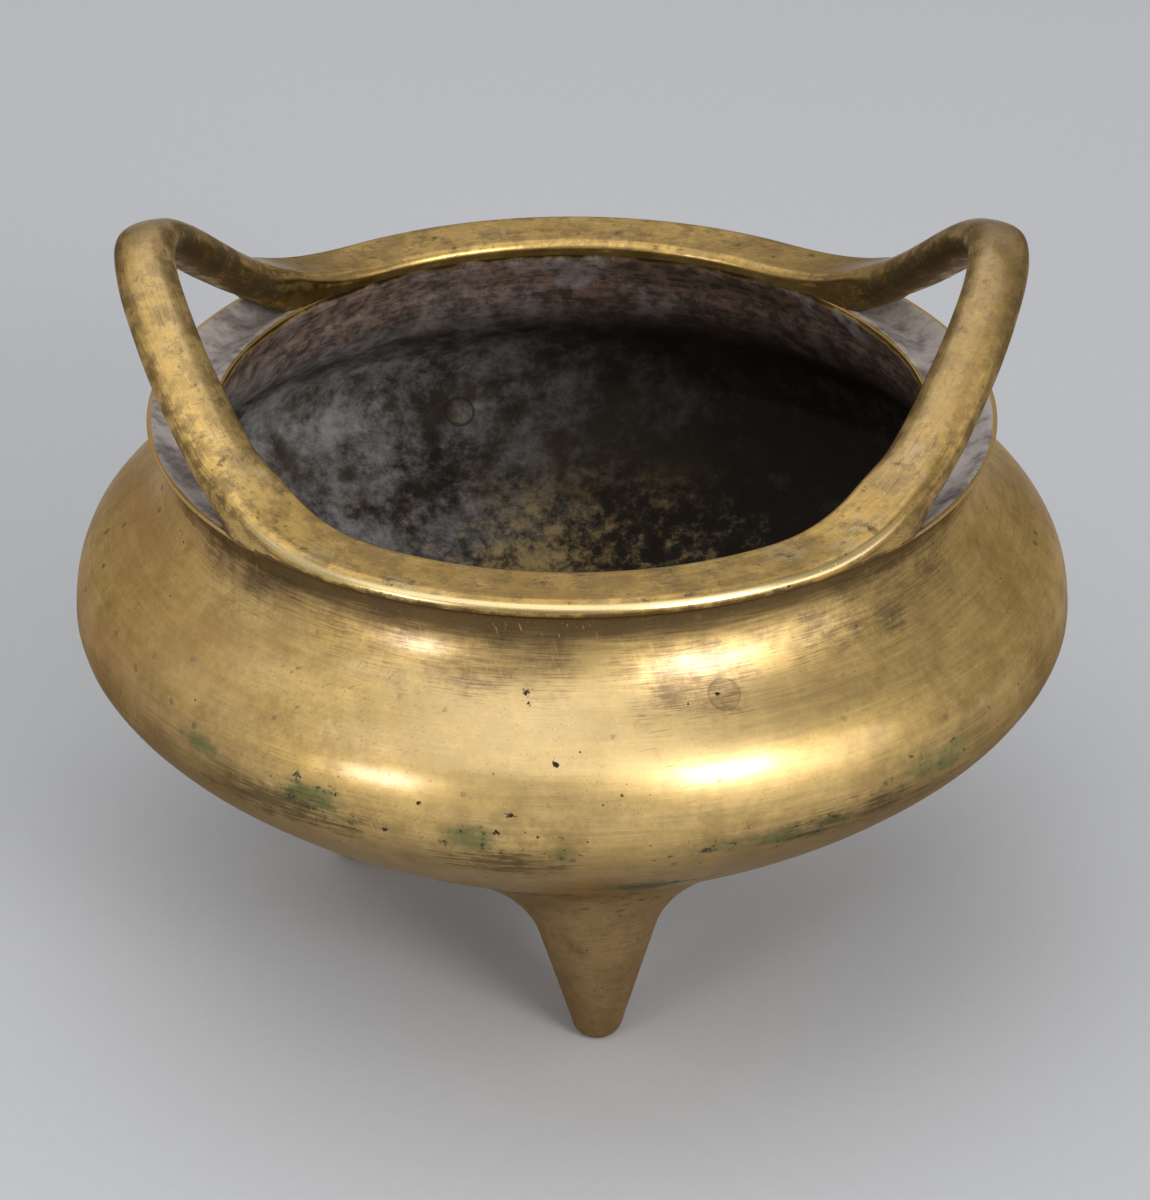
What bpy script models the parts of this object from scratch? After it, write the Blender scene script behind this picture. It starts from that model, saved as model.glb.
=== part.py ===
"""Bronze tripod censer: a bulging bowl with a raised rim, two bridge handles and three legs.

Metres, +Z up. The origin is on the bowl's axis at the ground. +X runs through the right handle and
the front is towards -Y.
"""

from math import ceil, cos, hypot, pi, radians, sin, sqrt

import bmesh
import bpy
from mathutils import Matrix, Vector

# Clearance between pieces that sit on, in or against each other
SEAT_GAP = 0.0003

# Bowl
BODY_RADIUS = 0.0750
EQUATOR_HEIGHT = 0.0552
CAP_RADIUS = 0.0481
CAP_DROP = 0.0243
CAP_SLOPE = radians(28.8)
SHOULDER_RADIUS = 0.0652
SHOULDER_RISE = 0.0172
SHOULDER_SLOPE = radians(45)
NECK_RADIUS = 0.0604
NECK_RISE = 0.0281
WALL = 0.0043
BOWL_SEGMENTS = 60

# Lengths of the straight handles that set how full each curve of the bowl's side is
BELLY_FULLNESS = 0.0068
CAP_FULLNESS = 0.0120
SHOULDER_FULLNESS = 0.0105
SHOULDER_TURN = 0.0059
HOLLOW_TURN = 0.0043
NECK_TURN = 0.0038

# Lip, with the shallow channel that the rim bands sit in
LIP_FLARE = 0.00335
LIP_OVERHANG = 0.0028
LIP_RISE = 0.0312
LIP_EDGE = 0.0012
COVE_DROP = 0.0060
CHANNEL_LAND = 0.0012
CHANNEL_DEPTH = 0.0016
TONGUE_EASE = 0.0006

# Rim bands and bridge handles, one wavy ring cut into four
RIM_HEIGHT = 0.0018
HANDLE_SPREAD = radians(58)
HANDLE_RISE = 0.0274
HANDLE_LEAN = 0.0045
HANDLE_WIDTH = 0.0090
HANDLE_THICKNESS = 0.0060
RIM_SQUARENESS = 3.2
HANDLE_SQUARENESS = 2.3
SECTION_POINTS = 16
RING_STEP = radians(4.2)

# Dowels that hold the handle feet to the lip
PIN_RADIUS = 0.0011
PIN_INSET = radians(11)
PIN_DOWN = 0.0060
PIN_UP = 0.0022
PIN_SEGMENTS = 12

# Tripod legs
LEG_CIRCLE = 0.0375
LEG_TURN = radians(5.8)
LEG_FLAT_RADIUS = 0.0012
LEG_TIP_RADIUS = 0.0039
LEG_TIP_HEIGHT = 0.0034
LEG_ROOT_RADIUS = 0.0121
LEG_FLARE = 0.0050
LEG_FLARE_POWER = 8
LEG_SEGMENTS = 24

# Rivets through the bowl's floor into the legs
RIVET_RADIUS = 0.0020
RIVET_REACH = 0.0090
RIVET_HEAD_RADIUS = 0.0040
RIVET_HEAD_HEIGHT = 0.0016
RIVET_SEGMENTS = 16

# Plugs that close the holes left by the casting core's supports
PLUG_RADIUS = 0.0025
PLUG_PROUD = 0.0010
PLUG_RECESS = 0.0003
PLUG_SEGMENTS = 16
PLUGS = {
    # Turn from +X, rise above the equator
    "core_plug_front": (radians(-70.5), 0.0174),
    "core_plug_back": (radians(105.2), -0.0064),
}

LEGS = {
    # Turn from +X
    "front": radians(-90) + LEG_TURN,
    "back_right": radians(30) + LEG_TURN,
    "back_left": radians(150) + LEG_TURN,
}

MOUTH_RADIUS = NECK_RADIUS - WALL
LIP_RADIUS = NECK_RADIUS + LIP_FLARE
LIP_INNER_RADIUS = MOUTH_RADIUS - LIP_OVERHANG
LIP_TOP = EQUATOR_HEIGHT + LIP_RISE
RIM_TOP = LIP_TOP + RIM_HEIGHT
RIM_MID = (LIP_INNER_RADIUS + LIP_RADIUS) / 2
RIM_HALF_WIDTH = (LIP_RADIUS - LIP_INNER_RADIUS) / 2
PIN_SPREAD = HANDLE_SPREAD - PIN_INSET


def curve_point(corners, share):
    """Point of a cubic curve at a share of its way."""
    rest = 1 - share
    weights = (rest ** 3, 3 * rest * rest * share, 3 * rest * share * share, share ** 3)
    return tuple(sum(w * corner[i] for w, corner in zip(weights, corners)) for i in range(2))


def curve(corners, steps):
    """Points of a cubic curve, without its first point."""
    return [curve_point(corners, step / steps) for step in range(1, steps + 1)]


def belly_corners():
    """Curve of the bowl's side from the edge of its round bottom up to the equator."""
    edge = (CAP_RADIUS, EQUATOR_HEIGHT - CAP_DROP)
    edge_turn = (edge[0] + CAP_FULLNESS * cos(CAP_SLOPE), edge[1] + CAP_FULLNESS * sin(CAP_SLOPE))
    equator_turn = (BODY_RADIUS, EQUATOR_HEIGHT - BELLY_FULLNESS)
    return edge, edge_turn, equator_turn, (BODY_RADIUS, EQUATOR_HEIGHT)


def underside(radius):
    """Height of the bowl's outer surface below the equator, at a distance from the axis."""
    if radius <= CAP_RADIUS:
        sphere = CAP_RADIUS / sin(CAP_SLOPE)
        centre = EQUATOR_HEIGHT - CAP_DROP + sphere * cos(CAP_SLOPE)
        return centre - sqrt(sphere * sphere - radius * radius)
    low, high = 0.0, 1.0
    for _ in range(40):
        middle = (low + high) / 2
        if curve_point(belly_corners(), middle)[0] < radius:
            low = middle
        else:
            high = middle
    return curve_point(belly_corners(), low)[1]


def outer_profile(cap_steps=6, belly_steps=7, shoulder_steps=4):
    """Outer side of the bowl from the axis at the bottom up to the neck, as (radius, height)."""
    cap_radii = [CAP_RADIUS * i / cap_steps for i in range(cap_steps + 1)]
    points = [(radius, underside(radius)) for radius in cap_radii]
    points += curve(belly_corners(), belly_steps)
    equator = (BODY_RADIUS, EQUATOR_HEIGHT)
    shoulder = (SHOULDER_RADIUS, EQUATOR_HEIGHT + SHOULDER_RISE)
    neck = (NECK_RADIUS, EQUATOR_HEIGHT + NECK_RISE)
    lean = Vector((-cos(SHOULDER_SLOPE), sin(SHOULDER_SLOPE)))
    equator_turn = (BODY_RADIUS, EQUATOR_HEIGHT + SHOULDER_FULLNESS)
    shoulder_turn = Vector(shoulder) - lean * SHOULDER_TURN
    points += curve((equator, equator_turn, shoulder_turn, shoulder), shoulder_steps)
    hollow_turn = Vector(shoulder) + lean * HOLLOW_TURN
    neck_turn = (NECK_RADIUS, neck[1] - NECK_TURN)
    points += curve((shoulder, hollow_turn, neck_turn, neck), shoulder_steps)
    return points


def normal_at(points, index):
    """Outward direction of a profile at one of its points."""
    before = points[max(index - 1, 0)]
    after = points[min(index + 1, len(points) - 1)]
    along = Vector((after[0] - before[0], after[1] - before[1])).normalized()
    if index == 0:
        return Vector((0, -1))
    if index == len(points) - 1:
        return Vector((1, 0))
    return Vector((along.y, -along.x))


def channel_floor(radius):
    """Height of the lip's top at a distance from the axis, with its channel."""
    start = LIP_INNER_RADIUS + CHANNEL_LAND
    share = (radius - start) / (LIP_RADIUS - CHANNEL_LAND - start)
    if not 0 < share < 1:
        return LIP_TOP
    return LIP_TOP - CHANNEL_DEPTH * sin(pi * share)


def bowl_profile(lip_steps=3, channel_steps=8, cove_steps=3):
    """Closed outline of the bowl from the axis below, over the lip, to the axis inside."""
    outer = outer_profile()
    neck_height = EQUATOR_HEIGHT + NECK_RISE
    lip_root = LIP_TOP - LIP_EDGE
    neck = (NECK_RADIUS, neck_height)
    neck_turn = (NECK_RADIUS, (neck_height + lip_root) / 2)
    edge_turn = ((NECK_RADIUS + LIP_RADIUS) / 2, lip_root)
    lip = curve((neck, neck_turn, edge_turn, (LIP_RADIUS, lip_root)), lip_steps)
    lip.append((LIP_RADIUS, LIP_TOP - LIP_EDGE / 3))
    lip.append((LIP_RADIUS - LIP_EDGE / 3, LIP_TOP))
    start = LIP_RADIUS - CHANNEL_LAND
    end = LIP_INNER_RADIUS + CHANNEL_LAND
    for i in range(channel_steps + 1):
        radius = start + (end - start) * i / channel_steps
        lip.append((radius, channel_floor(radius)))
    lip.append((LIP_INNER_RADIUS + LIP_EDGE / 3, LIP_TOP))
    lip.append((LIP_INNER_RADIUS, LIP_TOP - LIP_EDGE / 3))
    lip.append((LIP_INNER_RADIUS, lip_root))
    inner = []
    for index, (radius, height) in enumerate(outer):
        away = normal_at(outer, index)
        inner.append((radius - away.x * WALL, height - away.y * WALL))
    inner = [point for point in inner if point[1] < lip_root - COVE_DROP]
    cove_turn = (LIP_INNER_RADIUS, lip_root - COVE_DROP / 3)
    wall_turn = (inner[-1][0], inner[-1][1] + COVE_DROP / 3)
    lip += curve((lip[-1], cove_turn, wall_turn, inner[-1]), cove_steps)[:-1]
    return outer + lip + inner[::-1]


def bell(turn):
    """Share of the handle's rise at an angle from the X axis: one at its top, none at its feet."""
    share = min(abs(sin(turn)) / sin(HANDLE_SPREAD), 1)
    return cos(share * pi / 2) ** 2


def ring_middle(turn):
    """Distance from the axis to the middle of the rim or handle."""
    return RIM_MID + HANDLE_LEAN * bell(turn) ** 2


def ring_top(turn):
    """Height of the top of the rim or handle."""
    return RIM_TOP + HANDLE_RISE * bell(turn)


def ring_bottom(turn, step=radians(0.5)):
    """Height of the handle's underside, or of the rim's seat on the lip."""
    climb = ring_top(turn + step) - ring_top(turn - step)
    slope = climb / (2 * step * ring_middle(turn))
    return max(ring_top(turn) - HANDLE_THICKNESS * sqrt(1 + slope * slope), LIP_TOP + SEAT_GAP)


def ring_section(turn):
    """Closed outline across the rim or handle, with the tongue that lies in the lip's channel."""
    middle = ring_middle(turn)
    half_width = RIM_HALF_WIDTH + (HANDLE_WIDTH / 2 - RIM_HALF_WIDTH) * bell(turn)
    power = 2 / (RIM_SQUARENESS + (HANDLE_SQUARENESS - RIM_SQUARENESS) * bell(turn))
    top = ring_top(turn)
    bottom = ring_bottom(turn)
    seated = max(0, 1 - (bottom - LIP_TOP - SEAT_GAP) / CHANNEL_DEPTH)
    outline = []
    for i in range(SECTION_POINTS):
        angle = 2 * pi * (i + 0.5) / SECTION_POINTS
        across = abs(cos(angle)) ** power * (1 if cos(angle) > 0 else -1)
        up = abs(sin(angle)) ** power * (1 if sin(angle) > 0 else -1)
        radius = middle + half_width * across
        height = (top + bottom) / 2 + (top - bottom) / 2 * up
        if up < 0:
            height -= max(LIP_TOP - channel_floor(radius) - TONGUE_EASE, 0) * seated
        outline.append(Vector((radius * cos(turn), radius * sin(turn), height)))
    return outline


def make_object(name, mesh_builder, finish, sharp_angle=radians(50)):
    """New object from a bmesh, shaded smooth, with its own material."""
    bmesh.ops.recalc_face_normals(mesh_builder, faces=mesh_builder.faces)
    mesh = bpy.data.meshes.new(name)
    mesh_builder.to_mesh(mesh)
    mesh_builder.free()
    mesh.shade_smooth()
    mesh.set_sharp_from_angle(angle=sharp_angle)
    mesh.materials.append(finish)
    piece = bpy.data.objects.new(name, mesh)
    bpy.context.scene.collection.objects.link(piece)
    return piece


def bronze(name, colour, roughness):
    """Worn bronze finish."""
    material = bpy.data.materials.new(name)
    material.use_nodes = True
    shader = material.node_tree.nodes["Principled BSDF"]
    shader.inputs["Base Color"].default_value = (*colour, 1)
    shader.inputs["Roughness"].default_value = roughness
    shader.inputs["Metallic"].default_value = 1
    return material


def skin(builder, loops, closed_ends):
    """Join a row of equal closed loops of points, and cap both ends if they are open."""
    rings = [[builder.verts.new(point) for point in loop] for loop in loops]
    count = len(rings[0])
    for low, high in zip(rings, rings[1:]):
        for i in range(count):
            j = (i + 1) % count
            builder.faces.new((low[i], low[j], high[j], high[i]))
    if closed_ends:
        builder.faces.new(rings[0][::-1])
        builder.faces.new(rings[-1])
    return rings


def turned(profile, segments, place=Matrix.Identity(4)):
    """Solid of revolution from an outline whose two ends lie on the Z axis."""
    builder = bmesh.new()
    loops = []
    for radius, height in profile[1:-1]:
        angles = [2 * pi * i / segments for i in range(segments)]
        loops.append([place @ Vector((radius * cos(a), radius * sin(a), height)) for a in angles])
    rings = skin(builder, loops, closed_ends=False)
    for ring, (_, height) in ((rings[0], profile[0]), (rings[-1], profile[-1])):
        pole = builder.verts.new(place @ Vector((0, 0, height)))
        for i in range(segments):
            builder.faces.new((ring[i], ring[(i + 1) % segments], pole))
    return builder


def rod_outline(radius, low, high):
    """Outline of a plain round rod along Z."""
    return [(0, low), (radius, low), (radius, high), (0, high)]


def make_cutter(name, builder):
    """Object that only cuts holes in others."""
    bmesh.ops.recalc_face_normals(builder, faces=builder.faces)
    mesh = bpy.data.meshes.new(name)
    builder.to_mesh(mesh)
    builder.free()
    cutter = bpy.data.objects.new(name, mesh)
    cutter.hide_render = True
    cutter.display_type = "WIRE"
    bpy.context.scene.collection.objects.link(cutter)
    return cutter


def cut(piece, cutter):
    """Cut a hole in a piece."""
    hole = piece.modifiers.new(cutter.name, "BOOLEAN")
    hole.operation = "DIFFERENCE"
    hole.solver = "EXACT"
    hole.object = cutter


def make_ring_piece(name, first, last, finish):
    """Stretch of the rim or a handle between two angles from +X."""
    margin = SEAT_GAP / 2 / RIM_MID
    first += margin
    last -= margin
    steps = ceil((last - first) / RING_STEP)
    builder = bmesh.new()
    skin(builder, [ring_section(first + (last - first) * i / steps) for i in range(steps + 1)], True)
    return make_object(name, builder, finish)


def make_leg(name, turn, finish, tip_steps=4, height_steps=8, top_steps=4):
    """Tapered leg with a rounded tip, whose top follows the bowl's underside."""
    centre = Vector((LEG_CIRCLE * cos(turn), LEG_CIRCLE * sin(turn), 0))
    angles = [2 * pi * i / LEG_SEGMENTS for i in range(LEG_SEGMENTS)]
    top_radius = LEG_ROOT_RADIUS + LEG_FLARE

    def seat(radius, angle):
        point = centre + Vector((radius * cos(angle), radius * sin(angle), 0))
        point.z = underside(hypot(point.x, point.y)) - SEAT_GAP
        return point

    loops = []
    for i in range(tip_steps):
        bend = pi / 2 * i / tip_steps
        radius = LEG_FLAT_RADIUS + (LEG_TIP_RADIUS - LEG_FLAT_RADIUS) * sin(bend)
        height = LEG_TIP_HEIGHT * (1 - cos(bend))
        loops.append([centre + Vector((radius * cos(a), radius * sin(a), height)) for a in angles])
    for i in range(height_steps + 1):
        share = i / height_steps
        radius = LEG_TIP_RADIUS + (LEG_ROOT_RADIUS - LEG_TIP_RADIUS) * share
        radius += LEG_FLARE * share ** LEG_FLARE_POWER
        loop = []
        for a in angles:
            height = LEG_TIP_HEIGHT + (seat(top_radius, a).z - LEG_TIP_HEIGHT) * share
            loop.append(centre + Vector((radius * cos(a), radius * sin(a), height)))
        loops.append(loop)
    for i in range(1, top_steps):
        loops.append([seat(top_radius * (1 - i / top_steps), a) for a in angles])
    builder = bmesh.new()
    rings = skin(builder, loops, closed_ends=False)
    builder.faces.new(rings[0])
    pole = builder.verts.new(seat(0, 0))
    for i in range(LEG_SEGMENTS):
        builder.faces.new((rings[-1][i], rings[-1][(i + 1) % LEG_SEGMENTS], pole))
    return make_object(name, builder, finish)


def facing(point, direction):
    """Placement with its origin at a point and +Z along a direction."""
    return Matrix.Translation(point) @ direction.to_track_quat("Z", "Y").to_matrix().to_4x4()


def rivet_place(turn):
    """Placement on the bowl's outer surface over a leg, +Z into the bowl."""
    step = WALL / 4
    slope = (underside(LEG_CIRCLE + step) - underside(LEG_CIRCLE - step)) / (2 * step)
    inward = Vector((-slope * cos(turn), -slope * sin(turn), 1)).normalized()
    point = Vector((LEG_CIRCLE * cos(turn), LEG_CIRCLE * sin(turn), underside(LEG_CIRCLE)))
    return facing(point, inward)


def rivet_outline(dome_steps=3):
    """Rivet's outline along its axis, from its buried end to the top of its domed head."""
    floor_radius = CAP_RADIUS / sin(CAP_SLOPE) - WALL
    floor_hollow = RIVET_HEAD_RADIUS ** 2 / (2 * floor_radius)
    seat = WALL + floor_hollow + SEAT_GAP
    outline = [(0, -RIVET_REACH), (RIVET_RADIUS, -RIVET_REACH), (RIVET_RADIUS, seat)]
    for i in range(dome_steps):
        angle = pi / 2 * i / dome_steps
        outline.append((RIVET_HEAD_RADIUS * cos(angle), seat + RIVET_HEAD_HEIGHT * sin(angle)))
    outline.append((0, seat + RIVET_HEAD_HEIGHT))
    return outline


def plug_place(turn, rise):
    """Placement on the bowl's outer surface at a rise above the equator, +Z into the bowl."""
    outer = outer_profile()
    height = EQUATOR_HEIGHT + rise
    index = next(i for i in range(1, len(outer)) if outer[i][1] >= height)
    low, high = outer[index - 1], outer[index]
    share = (height - low[1]) / (high[1] - low[1])
    radius = low[0] + (high[0] - low[0]) * share
    along = Vector((high[0] - low[0], high[1] - low[1])).normalized()
    inward = Vector((-along.y * cos(turn), -along.y * sin(turn), along.x))
    return facing(Vector((radius * cos(turn), radius * sin(turn), height)), inward)


def plug_outline(dome_steps=3):
    """Plug's outline along its axis, from its flush outer end to its proud inner end."""
    outline = [(0, PLUG_RECESS), (PLUG_RADIUS, PLUG_RECESS)]
    for i in range(dome_steps):
        angle = pi / 2 * i / dome_steps
        outline.append((PLUG_RADIUS * cos(angle), WALL + PLUG_PROUD * sin(angle)))
    outline.append((0, WALL + PLUG_PROUD))
    return outline


def build():
    """Make every piece and cut the holes that hold them together."""
    for old in list(bpy.data.objects):
        bpy.data.objects.remove(old)
    root = bpy.data.objects.new("censer", None)
    bpy.context.scene.collection.objects.link(root)

    gold = (0.50, 0.36, 0.17)
    belly_gold = (0.42, 0.30, 0.15)
    leg_brown = (0.36, 0.25, 0.12)
    soot = (0.10, 0.08, 0.07)
    pieces = {}
    bowl = turned(bowl_profile(), BOWL_SEGMENTS)
    pieces["bowl"] = make_object("bowl", bowl, bronze("bowl_bronze", belly_gold, 0.38))

    ring = {
        "handle_right": (-HANDLE_SPREAD, HANDLE_SPREAD),
        "rim_back": (HANDLE_SPREAD, pi - HANDLE_SPREAD),
        "handle_left": (pi - HANDLE_SPREAD, pi + HANDLE_SPREAD),
        "rim_front": (pi + HANDLE_SPREAD, 2 * pi - HANDLE_SPREAD),
    }
    for name, (first, last) in ring.items():
        pieces[name] = make_ring_piece(name, first, last, bronze(name + "_bronze", gold, 0.32))

    pin_middle = (MOUTH_RADIUS + NECK_RADIUS) / 2
    pin_low = channel_floor(pin_middle) - PIN_DOWN
    pin_high = channel_floor(pin_middle) + SEAT_GAP + PIN_UP
    for end, end_sign in (("front", -1), ("back", 1)):
        for side, side_turn in (("left", pi), ("right", 0)):
            turn = side_turn + end_sign * PIN_SPREAD * (1 if side == "right" else -1)
            place = Matrix.Translation((pin_middle * cos(turn), pin_middle * sin(turn), 0))
            name = f"handle_pin_{end}_{side}"
            pin = turned(rod_outline(PIN_RADIUS, pin_low, pin_high), PIN_SEGMENTS, place)
            pieces[name] = make_object(name, pin, bronze(name + "_bronze", gold, 0.45))
            hole = rod_outline(PIN_RADIUS + SEAT_GAP, pin_low - SEAT_GAP, pin_high + SEAT_GAP)
            cutter = make_cutter(name + "_hole", turned(hole, PIN_SEGMENTS, place))
            cut(pieces["bowl"], cutter)
            cut(pieces[f"handle_{side}"], cutter)

    for where, turn in LEGS.items():
        leg = f"leg_{where}"
        pieces[leg] = make_leg(leg, turn, bronze(leg + "_bronze", leg_brown, 0.45))
        place = rivet_place(turn)
        name = f"leg_rivet_{where}"
        rivet = turned(rivet_outline(), RIVET_SEGMENTS, place)
        pieces[name] = make_object(name, rivet, bronze(name + "_bronze", soot, 0.6))
        hole = rod_outline(RIVET_RADIUS + SEAT_GAP, -RIVET_REACH - SEAT_GAP, 2 * WALL)
        cutter = make_cutter(name + "_hole", turned(hole, RIVET_SEGMENTS, place))
        cut(pieces["bowl"], cutter)
        cut(pieces[leg], cutter)

    for name, (turn, rise) in PLUGS.items():
        place = plug_place(turn, rise)
        plug = turned(plug_outline(), PLUG_SEGMENTS, place)
        pieces[name] = make_object(name, plug, bronze(name + "_bronze", belly_gold, 0.45))
        hole = rod_outline(PLUG_RADIUS + SEAT_GAP, -WALL, 2 * WALL)
        cut(pieces["bowl"], make_cutter(name + "_hole", turned(hole, PLUG_SEGMENTS, place)))

    for piece in pieces.values():
        piece.parent = root


build()
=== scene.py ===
"""Worn bronze tripod censer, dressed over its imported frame.

Metres, +Z up. The bowl's axis is the Z axis, +X runs through the right handle and the front is
towards -Y. Angles called turn are measured from +X, and angles called swing from the front, with the
right side positive.
"""

import logging
from collections.abc import Sequence
from dataclasses import dataclass, field
from enum import Enum
from functools import cache
from math import atan2, cos, degrees, hypot, pi, radians, sin, sqrt

import bmesh
import bpy
from mathutils import Matrix, Vector, noise


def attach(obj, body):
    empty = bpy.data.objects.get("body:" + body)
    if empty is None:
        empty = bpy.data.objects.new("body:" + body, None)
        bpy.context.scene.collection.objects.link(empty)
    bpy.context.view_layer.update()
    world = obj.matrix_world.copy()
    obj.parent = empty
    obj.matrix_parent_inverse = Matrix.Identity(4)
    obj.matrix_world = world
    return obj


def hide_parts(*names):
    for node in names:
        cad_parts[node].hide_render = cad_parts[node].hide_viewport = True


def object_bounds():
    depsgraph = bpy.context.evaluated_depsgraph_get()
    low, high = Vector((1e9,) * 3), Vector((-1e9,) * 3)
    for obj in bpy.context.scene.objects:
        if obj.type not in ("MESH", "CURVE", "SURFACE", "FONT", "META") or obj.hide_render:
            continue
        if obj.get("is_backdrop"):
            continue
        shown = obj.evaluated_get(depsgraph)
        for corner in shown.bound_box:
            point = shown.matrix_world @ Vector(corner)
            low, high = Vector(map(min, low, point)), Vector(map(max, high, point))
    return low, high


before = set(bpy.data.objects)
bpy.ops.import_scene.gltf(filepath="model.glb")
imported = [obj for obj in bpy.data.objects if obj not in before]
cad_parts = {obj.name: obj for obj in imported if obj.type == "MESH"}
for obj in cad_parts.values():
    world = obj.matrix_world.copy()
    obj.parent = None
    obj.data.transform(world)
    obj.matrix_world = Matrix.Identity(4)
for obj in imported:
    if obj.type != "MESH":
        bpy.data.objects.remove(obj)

LOG = logging.getLogger("censer")
MM = 0.001

Colour = tuple[float, float, float]
Point2 = tuple[float, float]


class EndCap(Enum):
    """How the end of a loft is closed."""

    POLE = "one point"
    FACE = "one face"


class Slot(Enum):
    """Material slots of the record."""

    BOWL = "bowl_bronze"
    RIM = "rim_bronze"
    LEG = "leg_bronze"
    PIN = "pin_bronze"
    PLUG = "plug_bronze"


def ease(value: float, low: float, high: float) -> float:
    """Smooth step of a value from 0 at low to 1 at high, where low may be the larger."""
    share = min(max((value - low) / (high - low), 0), 1)
    return share * share * (3 - 2 * share)


def blend(first: float, second: float, share: float) -> float:
    """Value a share of the way from the first to the second."""
    return first + (second - first) * share


def arc_points(corners: Sequence[Point2], steps: int) -> list[Point2]:
    """Points of a cubic curve, without its first point.

    Args:
        corners: The curve's four control points.
        steps: How many points to give.

    Returns:
        Points from just after the first corner to the last corner.
    """
    points = []
    for step in range(1, steps + 1):
        share = step / steps
        rest = 1 - share
        weights = (rest ** 3, 3 * rest * rest * share, 3 * rest * share * share, share ** 3)
        points.append(tuple(sum(w * c[i] for w, c in zip(weights, corners)) for i in range(2)))
    return points


def ripple(point: Vector, size: float, depth: float) -> float:
    """Slight unevenness of a hand-finished casting at a point, as a height in metres."""
    return noise.noise(point / size) * depth


def facing(point: Vector, direction: Vector) -> Matrix:
    """Placement with its origin at a point and +Z along a direction."""
    return Matrix.Translation(point) @ direction.to_track_quat("Z", "Y").to_matrix().to_4x4()


@dataclass
class Loft:
    """Closed skin over a row of equal loops of points.

    Attributes:
        loops: Points of each loop, with the same count in each.
        first: How the first loop is closed.
        last: How the last loop is closed.
        marks: Named values at the points, one list per loop, which the finishes read.
    """

    loops: list[list[Vector]]
    first: EndCap = EndCap.POLE
    last: EndCap = EndCap.POLE
    marks: dict[str, list[list[float]]] = field(default_factory=dict)

    def build(self, name: str, crease: float = radians(60)) -> bpy.types.Object:
        """Make the mesh object.

        Args:
            name: Name of the new object.
            crease: Angle between faces above which an edge is shaded sharp.

        Returns:
            The object, linked to the scene.
        """
        builder = bmesh.new()
        layers = {mark: builder.verts.layers.float.new(mark) for mark in self.marks}
        rings = []
        for row, loop in enumerate(self.loops):
            ring = [builder.verts.new(point) for point in loop]
            for mark, layer in layers.items():
                for vertex, value in zip(ring, self.marks[mark][row]):
                    vertex[layer] = value
            rings.append(ring)
        count = len(rings[0])
        for low, high in zip(rings, rings[1:]):
            for i in range(count):
                j = (i + 1) % count
                builder.faces.new((low[i], low[j], high[j], high[i]))
        for ring, cap in ((rings[0], self.first), (rings[-1], self.last)):
            if cap is EndCap.FACE:
                builder.faces.new(ring)
                continue
            pole = builder.verts.new(sum((v.co for v in ring), Vector()) / count)
            for layer in layers.values():
                pole[layer] = ring[0][layer]
            for i in range(count):
                builder.faces.new((ring[i], ring[(i + 1) % count], pole))
        bmesh.ops.recalc_face_normals(builder, faces=builder.faces)
        mesh = bpy.data.meshes.new(name)
        builder.to_mesh(mesh)
        builder.free()
        mesh.shade_smooth()
        mesh.set_sharp_from_angle(angle=crease)
        piece = bpy.data.objects.new(name, mesh)
        bpy.context.scene.collection.objects.link(piece)
        return piece


def seat(piece: bpy.types.Object, node: str, finish: bpy.types.Material) -> None:
    """Let a dressed piece stand for its CAD node.

    Args:
        piece: The dressed piece.
        node: CAD node that it stands for.
        finish: Material of the piece.
    """
    piece.data.materials.append(finish)
    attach(piece, "root")
    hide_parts(node)
    LOG.info("%s: %d faces, finish %s", piece.name, len(piece.data.polygons), finish.name)


class Value:
    """Shader socket that takes part in Python sums."""

    def __init__(self, sheet: "Sheet", socket: bpy.types.NodeSocket) -> None:
        """Wrap an output socket of a sheet's node."""
        self.sheet = sheet
        self.socket = socket

    def _sum(self, operation: str, *terms: "Value | float") -> "Value":
        """New value from a Math node with the given terms."""
        sockets = dict(enumerate(terms))
        return self.sheet.node("ShaderNodeMath", {"operation": operation}, sockets)

    def __add__(self, other: "Value | float") -> "Value":
        """Sum."""
        return self._sum("ADD", self, other)

    __radd__ = __add__

    def __sub__(self, other: "Value | float") -> "Value":
        """Difference."""
        return self._sum("SUBTRACT", self, other)

    def __rsub__(self, other: float) -> "Value":
        """Difference from a plain number."""
        return self._sum("SUBTRACT", other, self)

    def __mul__(self, other: "Value | float") -> "Value":
        """Product."""
        return self._sum("MULTIPLY", self, other)

    __rmul__ = __mul__

    def __neg__(self) -> "Value":
        """Negative."""
        return self._sum("MULTIPLY", self, -1.0)

    def __abs__(self) -> "Value":
        """Size without its sign."""
        return self._sum("ABSOLUTE", self)

    def root(self) -> "Value":
        """Square root."""
        return self._sum("SQRT", self)

    def most(self, other: "Value | float") -> "Value":
        """Larger of two."""
        return self._sum("MAXIMUM", self, other)

    def step(self, low: float, high: float) -> "Value":
        """Smooth step from 0 at low to 1 at high, where low may be the larger."""
        settings = {"interpolation_type": "SMOOTHSTEP"}
        ends = (low, high, 0.0, 1.0) if low < high else (high, low, 1.0, 0.0)
        names = ("From Min", "From Max", "To Min", "To Max")
        return self.sheet.node("ShaderNodeMapRange", settings, {"Value": self, **dict(zip(names, ends))})


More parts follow.
